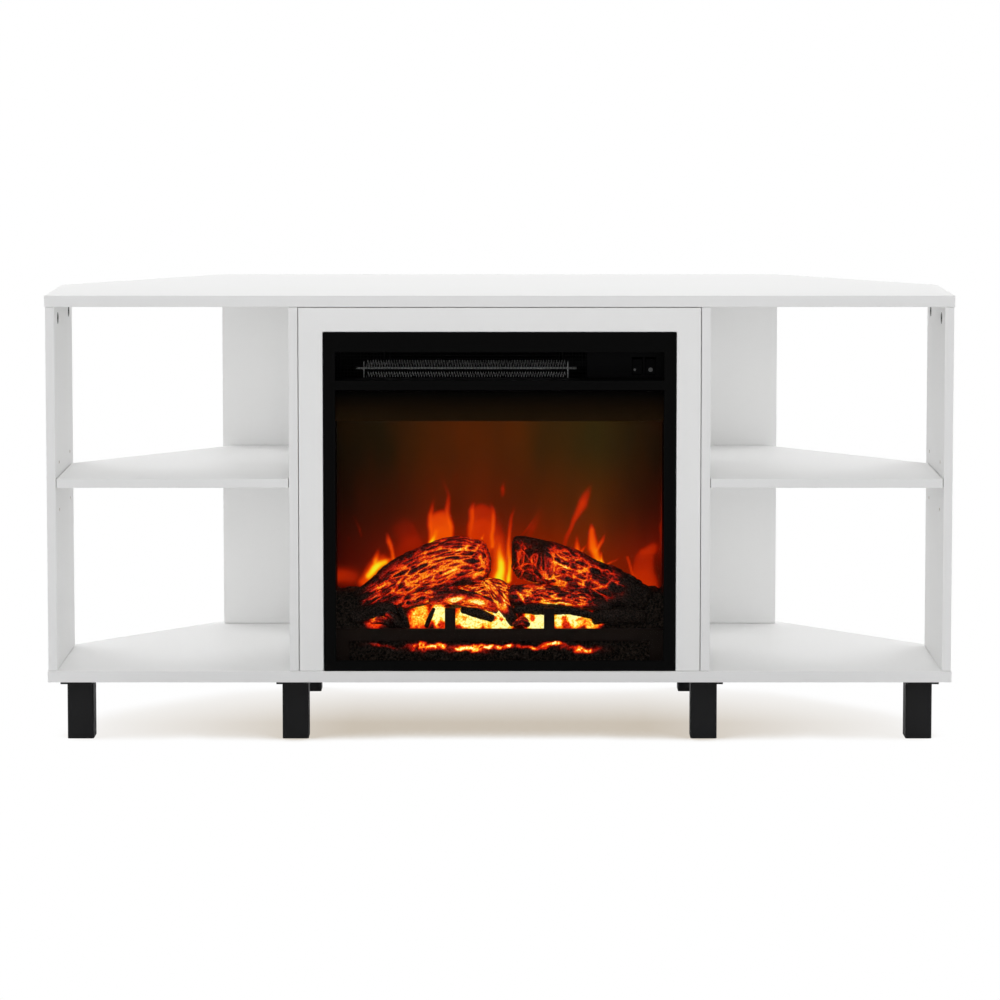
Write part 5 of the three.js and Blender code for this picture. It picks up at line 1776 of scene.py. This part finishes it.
    def charred_pieces(self) -> None:
        """Lays the broken branches and twigs between the logs and the grate."""
        middle_glow = (
            Glow(-14, 192, 44, 30, 0, 0.88, 0.1, 3),
            Glow(-7, 198, 12, 3, -50, 1.0, 0.8),
            Glow(7, 183, 7, 16, 0, 0.95, 0.35),
            Glow(-46, 196, 14, 2.5, -14, 0.9, 0.7),
            Glow(-14, 178, 16, 3.4, -20, 1.1, 0.8),
        )
        low_glow = (
            Glow(-60, 184, 17, 4.6, 6, 1.12, 0.8),
            Glow(-30, 181, 18, 4.6, -10, 1.12, 0.8),
            Glow(-86, 177, 16, 5, 12, 0.72, 0.7),
            Glow(-40, 178, 56, 16, 0, 0.82, 0.25),
        )
        right_glow = (
            Glow(76, 178, 34, 2.6, -3, 1.08, 0.85),
            Glow(88, 172, 16, 2.2, -2, 0.95, 0.8),
            Glow(72, 187, 62, 17, -5, 0.86, 0.06, 3),
            Glow(28, 187, 12, 3.4, -52, 1.02, 0.8),
            Glow(66, 186, 30, 1.3, -4, 0.75, 0.7),
        )
        branch_glow = (Glow(-104, 188, 50, 12, 18, 0.72, 0.0, 2), Glow(-84, 186, 26, 2, 20, 1.0, 0.8))
        ember_glow = (Glow(-162, 158, 18, 9, 10, 0.8, 0.1), Glow(26, 160, 16, 12, 0, 0.72, 0.0))
        rows = (
            (((-62, 180, 11), (-34, 188, 16), (-8, 191, 19), (8, 186, 16)), -136, middle_glow),
            (((-92, 181, 7), (-62, 186, 10), (-30, 182, 12), (-4, 174, 10)), -147, low_glow),
            (((-152, 172, 9), (-112, 184, 13), (-62, 197, 11)), -140, branch_glow),
            (((18, 188, 13), (60, 189, 14), (110, 182, 12), (146, 172, 9)), -143, right_glow),
            (((22, 170, 6), (60, 171, 7), (104, 167, 6), (132, 160, 5)), -152, ()),
            (((-18, 206, 6), (2, 182, 9), (20, 152, 7)), -152, middle_glow),
            (((-50, 170, 5), (-30, 166, 6.5), (-10, 158, 5)), -156, ()),
            (((-98, 148, 3), (-93, 160, 3.4), (-88, 172, 2.4)), -158, ()),
            (((-150, 166, 4), (-138, 156, 5.5), (-126, 144, 4)), -157, ember_glow),
            (((-134, 172, 4), (-128, 158, 5), (-124, 146, 4)), -154, ()),
            (((-172, 154, 5), (-160, 156, 6), (-148, 152, 5)), -152, ember_glow),
            (((20, 150, 5), (30, 155, 7), (38, 150, 5)), -158, ember_glow),
            (((-196, 158, 9), (-170, 166, 11), (-140, 170, 9)), -146, ()),
            (((128, 158, 9), (160, 160, 12), (192, 158, 9)), -148, ()),
        )
        shape = Shape()
        for k, (line, y, glows) in enumerate(rows):
            bark = Bark(
                41 + k, (26.0, 6.0, 5.0), groove=1.2, plate_rise=1.0, knots=1.6, grain=0.8, bend=(8, 5, 5)
            )
            Stick(line, y, bark, glows, step=self.log_step).add_to(shape)
        shape.piece("charred_pieces", BARK, Slot.BARK, smooth=180)


# The flames


@dataclass(frozen=True)
class Tongue:
    """One tongue of flame on the screen.

    Attributes:
        line: Places along it: x, z, half width in mm and heat from 0 to 1.
        edge: How sharply its sides end; 2 is soft and 5 is crisp.
    """

    line: tuple[tuple[float, float, float, float], ...]
    edge: float = 2.0

    def at(self, x: Array, z: Array) -> Array:
        """Gives the tongue's heat.

        Args:
            x: Places across the screen.
            z: Heights on the screen.

        Returns:
            Heat at each place.
        """
        heat = np.zeros_like(x)
        for (x0, z0, w0, h0), (x1, z1, w1, h1) in zip(self.line, self.line[1:]):
            dx, dz = x1 - x0, z1 - z0
            share = np.clip(((x - x0) * dx + (z - z0) * dz) / (dx * dx + dz * dz), 0, 1)
            away = np.hypot(x - x0 - share * dx, z - z0 - share * dz)
            width = w0 + (w1 - w0) * share
            heat = np.maximum(heat, (h0 + (h1 - h0) * share) * np.exp(-((away / width) ** self.edge)))
        return heat


# For each tongue, how sharply its sides end, and then the places along it
FLAMES = (
    (5, (-80, 236, 17.7, 0.6), (-80, 263, 17.7, 0.6), (-80, 278, 17.1, 0.54), (-80, 297, 14.9, 0)),
    (2, (-93, 253, 5.7, 0.54), (-94, 273, 5.4, 0.58), (-92, 289, 4.6, 0.5), (-89, 318, 2.7, 0)),
    (2, (-66, 253, 5.4, 0.56), (-67, 277, 5.4, 0.6), (-72, 315, 3.8, 0.24), (-78, 353, 3.3, 0.04)),
    (2.4, (-95, 242, 4.6, 0.84), (-93, 251, 5.2, 0.84), (-87, 265, 3, 0.5)),
    (2.2, (-178, 204, 6.8, 0.86), (-169, 213, 8.2, 0.9), (-153, 223, 5.4, 0.82), (-146, 228, 3.3, 0.36)),
    (2, (-168, 213, 6.8, 0.8), (-167, 224, 5.2, 0.68), (-163, 243, 2.4, 0.06)),
    (2.2, (-184, 195, 9.5, 0.52), (-171, 212, 12.2, 0.48), (-157, 224, 10.9, 0.42)),
    (2, (-143, 225, 2.7, 0.6), (-146, 239, 3, 0.54), (-150, 250, 4.1, 0.54), (-153, 266, 2.2, 0)),
    (2.6, (-133, 225, 24.5, 0.26), (-122, 246, 23.1, 0.28), (-130, 265, 19, 0.2), (-140, 277, 13.6, 0.04)),
    (2, (-137, 284, 5.4, 0.08), (-120, 272, 6.8, 0.2), (-104, 238, 6.8, 0.26)),
    (2, (-197, 285, 2.2, 0.12), (-191, 267, 1.8, 0.22), (-188, 258, 1.4, 0.2)),
    (2, (-207, 258, 1.6, 0.14), (-205, 251, 1.6, 0.18)),
    (2.2, (-220, 204, 16.3, 0.34), (-203, 202, 17.7, 0.3), (-190, 209, 9.5, 0.14)),
    (5, (-27, 242, 20.4, 0.44), (-25, 269, 19.7, 0.43), (-25, 286, 19, 0.34), (-25, 307, 16.3, 0)),
    (2, (-39, 253, 6, 0.44), (-39, 274, 6, 0.5), (-38, 293, 5.4, 0.5), (-36, 315, 3.3, 0)),
    (2, (-11, 246, 5.4, 0.58), (-10, 266, 5.4, 0.56), (-10, 285, 4.6, 0.5), (-12, 312, 2.7, 0.05)),
    (2, (-29, 250, 2.7, 0.8), (-28, 254, 2.2, 0.74), (-23, 261, 1.4, 0.5)),
    (2, (4, 316, 3.8, 0.24), (5, 325, 4.6, 0.32), (9, 341, 2.4, 0.02)),
    (3, (0, 191, 16.3, 0.62), (0, 217, 14.9, 0.6), (-2, 255, 12.2, 0.38), (-5, 291, 8.2, 0.1)),
    (2.4, (0, 195, 10.9, 0.98), (0, 223, 8.2, 0.9), (-1, 246, 5.4, 0.54), (-2, 258, 4.1, 0.3)),
    (2, (12, 198, 4.1, 0.9), (12, 246, 3.8, 0.58), (16, 288, 3, 0.3), (22, 307, 2.4, 0.04)),
    (2, (38, 251, 8.2, 0.2), (47, 272, 9.5, 0.26), (59, 304, 5.4, 0.04)),
    (2, (29, 257, 2.7, 0.22), (41, 273, 2.7, 0.28), (60, 308, 2.7, 0.02)),
    (2, (-129, 280, 4.1, 0.06), (-133, 314, 4.9, 0.08), (-130, 416, 8.2, 0.03)),
    (2, (-87, 307, 4.1, 0.1), (-93, 327, 5.4, 0.09), (-96, 348, 4.9, 0.05)),
    (2, (-61, 329, 3.3, 0.1), (-59, 342, 3.3, 0.12), (-57, 356, 2.7, 0.02)),
    (2.4, (83, 242, 4.1, 0.3), (98, 277, 4.1, 0.38), (112, 304, 8.7, 0.44), (129, 339, 2.7, 0)),
    (2.2, (106, 229, 4.3, 0.72), (104, 240, 5.4, 0.68), (103, 258, 2.2, 0.24)),
    (2, (108, 235, 2.7, 0.6), (113, 242, 2.4, 0.48), (120, 248, 1.9, 0.1)),
    (2.6, (138, 216, 4.1, 0.76), (127, 242, 8.7, 0.68), (125, 265, 4.1, 0.58), (124, 277, 2.2, 0.16)),
    (2, (132, 239, 4.1, 0.62), (139, 251, 3.3, 0.48), (143, 267, 1.9, 0.02)),
    (2, (139, 214, 4.3, 0.92), (138, 225, 3, 0.82), (138, 235, 1.9, 0.44)),
    (2, (142, 217, 1.9, 0.7), (150, 224, 1.6, 0.42), (172, 236, 1.6, 0.06)),
    (6, (195, 182, 20.4, 0.4), (195, 201, 19.7, 0.38), (197, 227, 17, 0.3), (197, 236, 16.3, 0)),
    (2, (172, 231, 2.4, 0.42), (178, 214, 2.7, 0.46), (185, 197, 2.7, 0.44)),
    (2.6, (195, 238, 8.2, 0.34), (208, 240, 10.9, 0.34)),
    (2, (219, 225, 2.4, 0.14), (220, 266, 2.7, 0.26), (220, 348, 2.4, 0.02)),
)
FLAME_TONES = (
    (0, "#461002"), (0.25, "#8c1c02"), (0.45, "#c83203"), (0.62, "#ec5204"),
    (0.78, "#f88a0e"), (0.9, "#fcc416"), (1, "#f2e42a"),
)
HAZE_TONES = ((0, "#130f05"), (0.25, "#2e1c06"), (0.5, "#361f07"), (0.8, "#36270e"), (1, "#1f1107"))
HAZE_REDDENING = ((0, 0.45), (0.08, 0.5), (0.25, 0.95), (0.45, 1.0), (0.6, 0.9), (0.8, 0.7), (1, 0.7))


def blend(value: Array, stops: Stops) -> Array:
    """Blends colours along a line.

    Args:
        value: Where on the line.
        stops: The colours' places, and the colours as sRGB hex.

    Returns:
        sRGB levels from 0 to 255.
    """
    places, tones = zip(*stops)
    table = np.array([levels(tone) for tone in tones])
    return np.stack([np.interp(value, places, table[:, k]) for k in range(3)], axis=1)


@dataclass
class FlameEffect:
    """The smoked screen with the flames thrown on it, and the flag rotor and lamps that throw them.

    Attributes:
        step: Spacing of the screen's mesh.
        width: Width of the screen that the flames are laid out on.
        shade_top: Height above which the valance keeps the screen dark.
        shade_blur: Height over which that shade ends.
        shade: Share of the light that is left in the shade.
        sway: How far the flames waver sideways.
        sway_size: Length of the waver.
        overlap: How much heat tongues gain where they cross.
        cover: Heat from which on a flame hides the haze.
        patch_place: Middle of the warm patch in the haze.
        patch_size: Half its width and height.
        patch_tint: How it changes the levels of red, green and blue.
        streak_size: Size of the haze's streaks.
        streak_height: Factor on the height that stretches them upwards.
        streak_tint: How they change the levels.
        low: Heights between which the haze yellows towards the fire.
        low_tint: How that changes the levels.
        glows: Heights between which each red glow rises, and its strength.
        glow_tint: How they change the levels.
        corner: Where across and how high the glow starts and stops fading at the lower right.
        corner_fade: Share of the glow that is gone there.
        least: Lowest level of the haze.
        eases: Radii of the bearing's, the motor's and the lamp board's edges.
    """

    step: float = 1.9
    width: float = 446.0
    shade_top: float = 421.0
    shade_blur: float = 4.0
    shade: float = 0.1
    sway: float = 3.6
    sway_size: float = 24.0
    overlap: float = 0.12
    cover: float = 0.32
    patch_place: Pair = (-34.0, 388.0)
    patch_size: Pair = (82.0, 62.0)
    patch_tint: Triple = (26.0, 4.0, -3.0)
    streak_size: float = 30.0
    streak_height: float = 0.3
    streak_tint: Triple = (26.0, 6.0, 0.0)
    low: Pair = (402.0, 280.0)
    low_tint: Triple = (0.0, -3.0, -6.0)
    glows: tuple[Triple, ...] = ((388.0, 280.0, 0.35), (307.0, 205.0, 0.75))
    glow_tint: Triple = (98.0, 3.0, -2.0)
    corner: tuple[Pair, ...] = ((0.9, 1.0), (253.0, 199.0))
    corner_fade: float = 0.6
    least: float = 2.0
    eases: Triple = (0.4, 0.6, 0.3)

    def build(self) -> None:
        """Makes the screen and dresses what drives it."""
        self.screen()
        dress("flame_rotor", REFLECTOR)
        bearing, motor, board = self.eases
        dress("rotor_bearing", ABS, bearing)
        dress("rotor_motor", CAN, motor)
        dress("led_board", CIRCUIT, board)

    def screen(self) -> None:
        """Makes the screen's sheet, with the flames' light on its front."""
        low, high = node_box("flame_screen")
        columns = int((high[0] - low[0]) / self.step) + 1
        rows = int((high[2] - low[2]) / self.step) + 1
        x, z = np.meshgrid(np.linspace(low[0], high[0], columns), np.linspace(low[2], high[2], rows))
        front = side_by_side(x, np.full_like(x, low[1]), z)
        n = len(front)
        back = [(low[0], high[1], low[2]), (high[0], high[1], low[2])]
        back += [(high[0], high[1], high[2]), (low[0], high[1], high[2])]
        foot, top, left, right = rim(rows, columns)
        closing = [(n, n + 1) + foot[::-1], top + (n + 2, n + 3), left + (n + 3, n)]
        closing += [right[::-1] + (n + 1, n + 2), (n + 3, n + 2, n + 1, n)]
        shape = Shape()
        shape.grow(np.vstack([front, back]), grid_faces(rows, columns) + closing)
        light = self.light(front[:, 0], front[:, 2])
        shape.values[FLAME] = np.vstack([light, np.tile([0, 0, 0, 1], (len(back), 1))])
        shape.piece("flame_screen_sheet", SCREEN, Slot.SCREEN, replaced=["flame_screen"])

    def light(self, x: Array, z: Array) -> Array:
        """Works out the light of the flames and their haze.

        Args:
            x: Places across the screen.
            z: Heights on the screen.

        Returns:
            Linear red, green, blue and 1 at each place.
        """
        spots = side_by_side(x, np.zeros_like(x), z)
        noises = [ValueNoise(seed, self.sway_size, 2)(spots) for seed in (3, 4)]
        aside, upward = [(noise - 0.5) * 2 * self.sway for noise in noises]
        heat, total = np.zeros_like(x), np.zeros_like(x)
        for edge, *line in FLAMES:
            one = Tongue(tuple(line), edge).at(x + aside, z + upward)
            heat = np.maximum(heat, one)
            total += one
        heat = np.clip(heat + self.overlap * (total - heat), 0, 1)
        haze = self.haze(x, z)
        cover = smoothstep(0, self.cover, heat)[:, None]
        light = haze * (1 - cover) + np.maximum(blend(heat, FLAME_TONES), haze) * cover
        return np.hstack([(light / 255) ** 2.2, np.ones((len(x), 1))])

    def haze(self, x: Array, z: Array) -> Array:
        """Works out the glow round the flames, in sRGB levels.

        Args:
            x: Places across the screen.
            z: Heights on the screen.

        Returns:
            Red, green and blue levels at each place.
        """
        across = (x + self.width / 2) / self.width
        base = blend(across, HAZE_TONES)
        (middle, height), (wide, tall) = self.patch_place, self.patch_size
        patch = np.exp(-(((x - middle) / wide) ** 2) - ((z - height) / tall) ** 2)
        base = base + patch[:, None] * np.array(self.patch_tint)
        stretched = side_by_side(x, np.zeros_like(x), self.streak_height * z)
        streaks = ValueNoise(7, self.streak_size, 3)(stretched) - 0.5
        base = base + streaks[:, None] * np.array(self.streak_tint)
        low = smoothstep(*self.low, z)
        glow = sum(share * smoothstep(start, full, z) for start, full, share in self.glows)
        glow = glow * np.interp(across, *zip(*HAZE_REDDENING))
        right, foot = self.corner
        glow = glow * (1 - self.corner_fade * smoothstep(*right, across) * smoothstep(*foot, z))
        base = base + (low[:, None] * np.array(self.low_tint) + glow[:, None] * np.array(self.glow_tint))
        lit = smoothstep(self.shade_top + self.shade_blur, self.shade_top - self.shade_blur, z)
        return np.maximum(base, self.least) * (self.shade + (1 - self.shade) * lit)[:, None]


# The studio


@dataclass
class Studio:
    """The pale floor, the soft light and the camera.

    Attributes:
        camera_place: Where the camera stands.
        camera_tip: How far it looks down, in degrees.
        sensor: Width of its sensor.
        lens: Its focal length.
        shift: The lens's shift.
        aim: What the lamps point at.
        floor_size: Half the floor's width.
        floor_level: How much of the lamps' light the floor throws back.
        ambient: Strength of the even light.
        shadow_reach: How far above the floor things still shade it.
        shadow_tone: Colour of the shadow at its deepest.
        shadow_open: Share of open sky at which the shadow is deepest, and at which it ends.
        shadow_sides: Distances from the middle between which the shadow fades, and the share left.
        shadow_depths: Depths between which it fades, and the share then left.
        behind: Where from front to back a reflection turns from dark to bright, and both levels.
        above: Where from level to upright it turns so, and both levels.
    """

    camera_place: Triple = (0.68, -4853.4, 951.97)
    camera_tip: float = 4.4563
    sensor: float = 36.0
    lens: float = 127.643
    shift: Pair = (-0.00015, -0.2)
    aim: Triple = (0.0, 0.0, 350.0)
    floor_size: float = 9000.0
    floor_level: float = 0.78
    ambient: float = 0.36
    shadow_reach: float = 125.0
    shadow_tone: str = "#cac0b2"
    shadow_open: Pair = (0.46, 0.6)
    shadow_sides: Triple = (200.0, 620.0, 0.1)
    shadow_depths: Triple = (-70.0, 200.0, 0.12)
    behind: tuple[float, float, float, float] = (-0.35, 0.1, 0.25, 0.9)
    above: tuple[float, float, float, float] = (0.35, 0.8, 0.0, 0.9)

    def build(self) -> None:
        """Sets up the whole studio."""
        self.camera()
        self.floor()
        self.world()
        self.lamp("front_lamp", (0, -4200, 900), 2000, 28)
        self.lamp("front_high_lamp", (0, -2600, 3200), 2000, 25)
        self.lamp("back_lamp", (0, 3200, 1500), 2400, 28)
        for side, hand in zip(BOTH, (-1, 1)):
            self.lamp(f"{side}_lamp", (hand * 3000, -1500, 1200), 1600, 3.5)
            self.lamp(f"{side}_low_lamp", (hand * 3200, 200, 700), 1600, 29)
            self.lamp(f"{side}_rear_high_lamp", (hand * 2300, 1800, 2800), 1800, 36)
        bpy.context.scene.view_settings.view_transform = "Standard"

    def camera(self) -> None:
        """Places the camera where the photograph was taken from."""
        data = bpy.data.cameras.new("camera")
        data.sensor_width = self.sensor
        data.lens = self.lens
        data.shift_x, data.shift_y = self.shift
        camera = bpy.data.objects.new("camera", data)
        camera.location = Vector(self.camera_place) * MM
        camera.rotation_euler = (math.radians(90 - self.camera_tip), 0, 0)
        bpy.context.scene.collection.objects.link(camera)
        bpy.context.scene.camera = camera

    def lamp(self, name: str, place: Place, size: float, power: float) -> None:
        """Hangs a soft square lamp that points at the object.

        Args:
            name: Its name.
            place: Where it hangs.
            size: Its width.
            power: Its power in watts.
        """
        data = bpy.data.lights.new(name, "AREA")
        data.shape = "SQUARE"
        data.size = size * MM
        data.energy = power
        lamp = bpy.data.objects.new(name, data)
        lamp.location = Vector(place) * MM
        lamp.rotation_euler = (Vector(self.aim) - Vector(place)).to_track_quat("-Z", "Y").to_euler()
        lamp.visible_camera = False
        lamp.visible_glossy = False
        bpy.context.scene.collection.objects.link(lamp)

    def floor(self) -> None:
        """Lays the pale floor, which shows white with a soft warm shadow."""
        half = self.floor_size * MM
        mesh = bpy.data.meshes.new("studio_floor")
        corners = [(-half, -half, 0), (half, -half, 0), (half, half, 0), (-half, half, 0)]
        mesh.from_pydata(corners, [], [(0, 1, 2, 3)])
        floor = bpy.data.objects.new("studio_floor", mesh)
        bpy.context.scene.collection.objects.link(floor)
        material = bpy.data.materials.new("studio_floor_matt_paint")
        tree = fresh_tree(material)
        mesh.materials.append(material)
        paint = {"Color": (self.floor_level, self.floor_level, self.floor_level, 1)}
        tones = {"Factor": self.shadow(tree), "A": linear("#ffffff"), "B": linear(self.shadow_tone)}
        tone = add(tree, "ShaderNodeMix", tones, data_type="RGBA")
        looks = {
            0: seen_rays(tree),
            1: add(tree, "ShaderNodeBsdfDiffuse", paint),
            2: add(tree, "ShaderNodeEmission", {"Color": tone, "Strength": 1.0}),
        }
        add(tree, "ShaderNodeOutputMaterial", {"Surface": add(tree, "ShaderNodeMixShader", looks)})

    def shadow(self, tree: Tree) -> Node:
        """Works out how deep the shadow under the object is.

        Args:
            tree: The floor's node tree.

        Returns:
            A node that gives 1 in the deepest shadow and 0 outside it.
        """
        place = add(tree, "ShaderNodeSeparateXYZ", {0: add(tree, "ShaderNodeTexCoord").outputs["Object"]})
        sky = add(tree, "ShaderNodeAmbientOcclusion", {"Distance": self.shadow_reach * MM}, samples=24)
        off_centre = add(tree, "ShaderNodeMath", {0: place.outputs["X"]}, operation="ABSOLUTE")
        near, far, beside = self.shadow_sides
        front, rear, behind = self.shadow_depths
        fades = (
            (off_centre, near * MM, far * MM, beside),
            (place.outputs["Y"], front * MM, rear * MM, behind),
            (sky.outputs["AO"], *self.shadow_open, 0.0),
        )
        shares = []
        for value, start, end, left in fades:
            fade = {"Value": value, "From Min": start, "From Max": end, "To Min": 1.0, "To Max": left}
            shares.append(add(tree, "ShaderNodeMapRange", fade))
        spread = add(tree, "ShaderNodeMath", {0: shares[0], 1: shares[1]}, operation="MULTIPLY")
        return add(tree, "ShaderNodeMath", {0: shares[2], 1: spread}, operation="MULTIPLY")

    def world(self) -> None:
        """Lights the object evenly, before a white background and with a dark side towards its front."""
        world = bpy.data.worlds.new("soft_studio")
        tree = fresh_tree(world)
        spot = add(tree, "ShaderNodeSeparateXYZ", {0: add(tree, "ShaderNodeTexCoord").outputs["Generated"]})
        turns = []
        for axis, (start, end, dark, bright) in (("Y", self.behind), ("Z", self.above)):
            turn = {"Value": spot.outputs[axis]}
            turn |= {"From Min": start, "From Max": end, "To Min": dark, "To Max": bright}
            turns.append(add(tree, "ShaderNodeMapRange", turn))
        gloss = add(tree, "ShaderNodeMath", dict(enumerate(turns)), operation="MAXIMUM")
        even, mirror, white = [
            add(tree, "ShaderNodeBackground", {"Color": (1, 1, 1, 1), "Strength": strength})
            for strength in (self.ambient, gloss, 1.0)
        ]
        glossy = add(tree, "ShaderNodeLightPath").outputs["Is Glossy Ray"]
        lit = add(tree, "ShaderNodeMixShader", {0: glossy, 1: even, 2: mirror})
        final = add(tree, "ShaderNodeMixShader", {0: seen_rays(tree), 1: lit, 2: white})
        add(tree, "ShaderNodeOutputWorld", {"Surface": final})
        bpy.context.scene.world = world


def main() -> None:
    """Builds the studio and then every sub-assembly in turn."""
    logging.basicConfig(level=logging.INFO, format="%(message)s")
    Studio().build()
    cabinet = (Carcass(), Hardware(), Legs(), Surround())
    insert = (FireplaceShell(), HeaterOutlet(), LogSet(), FlameEffect())
    for part in (*cabinet, *insert):
        log.info("building %s", type(part).__name__)
        part.build()


if __name__ == "__main__":
    main()
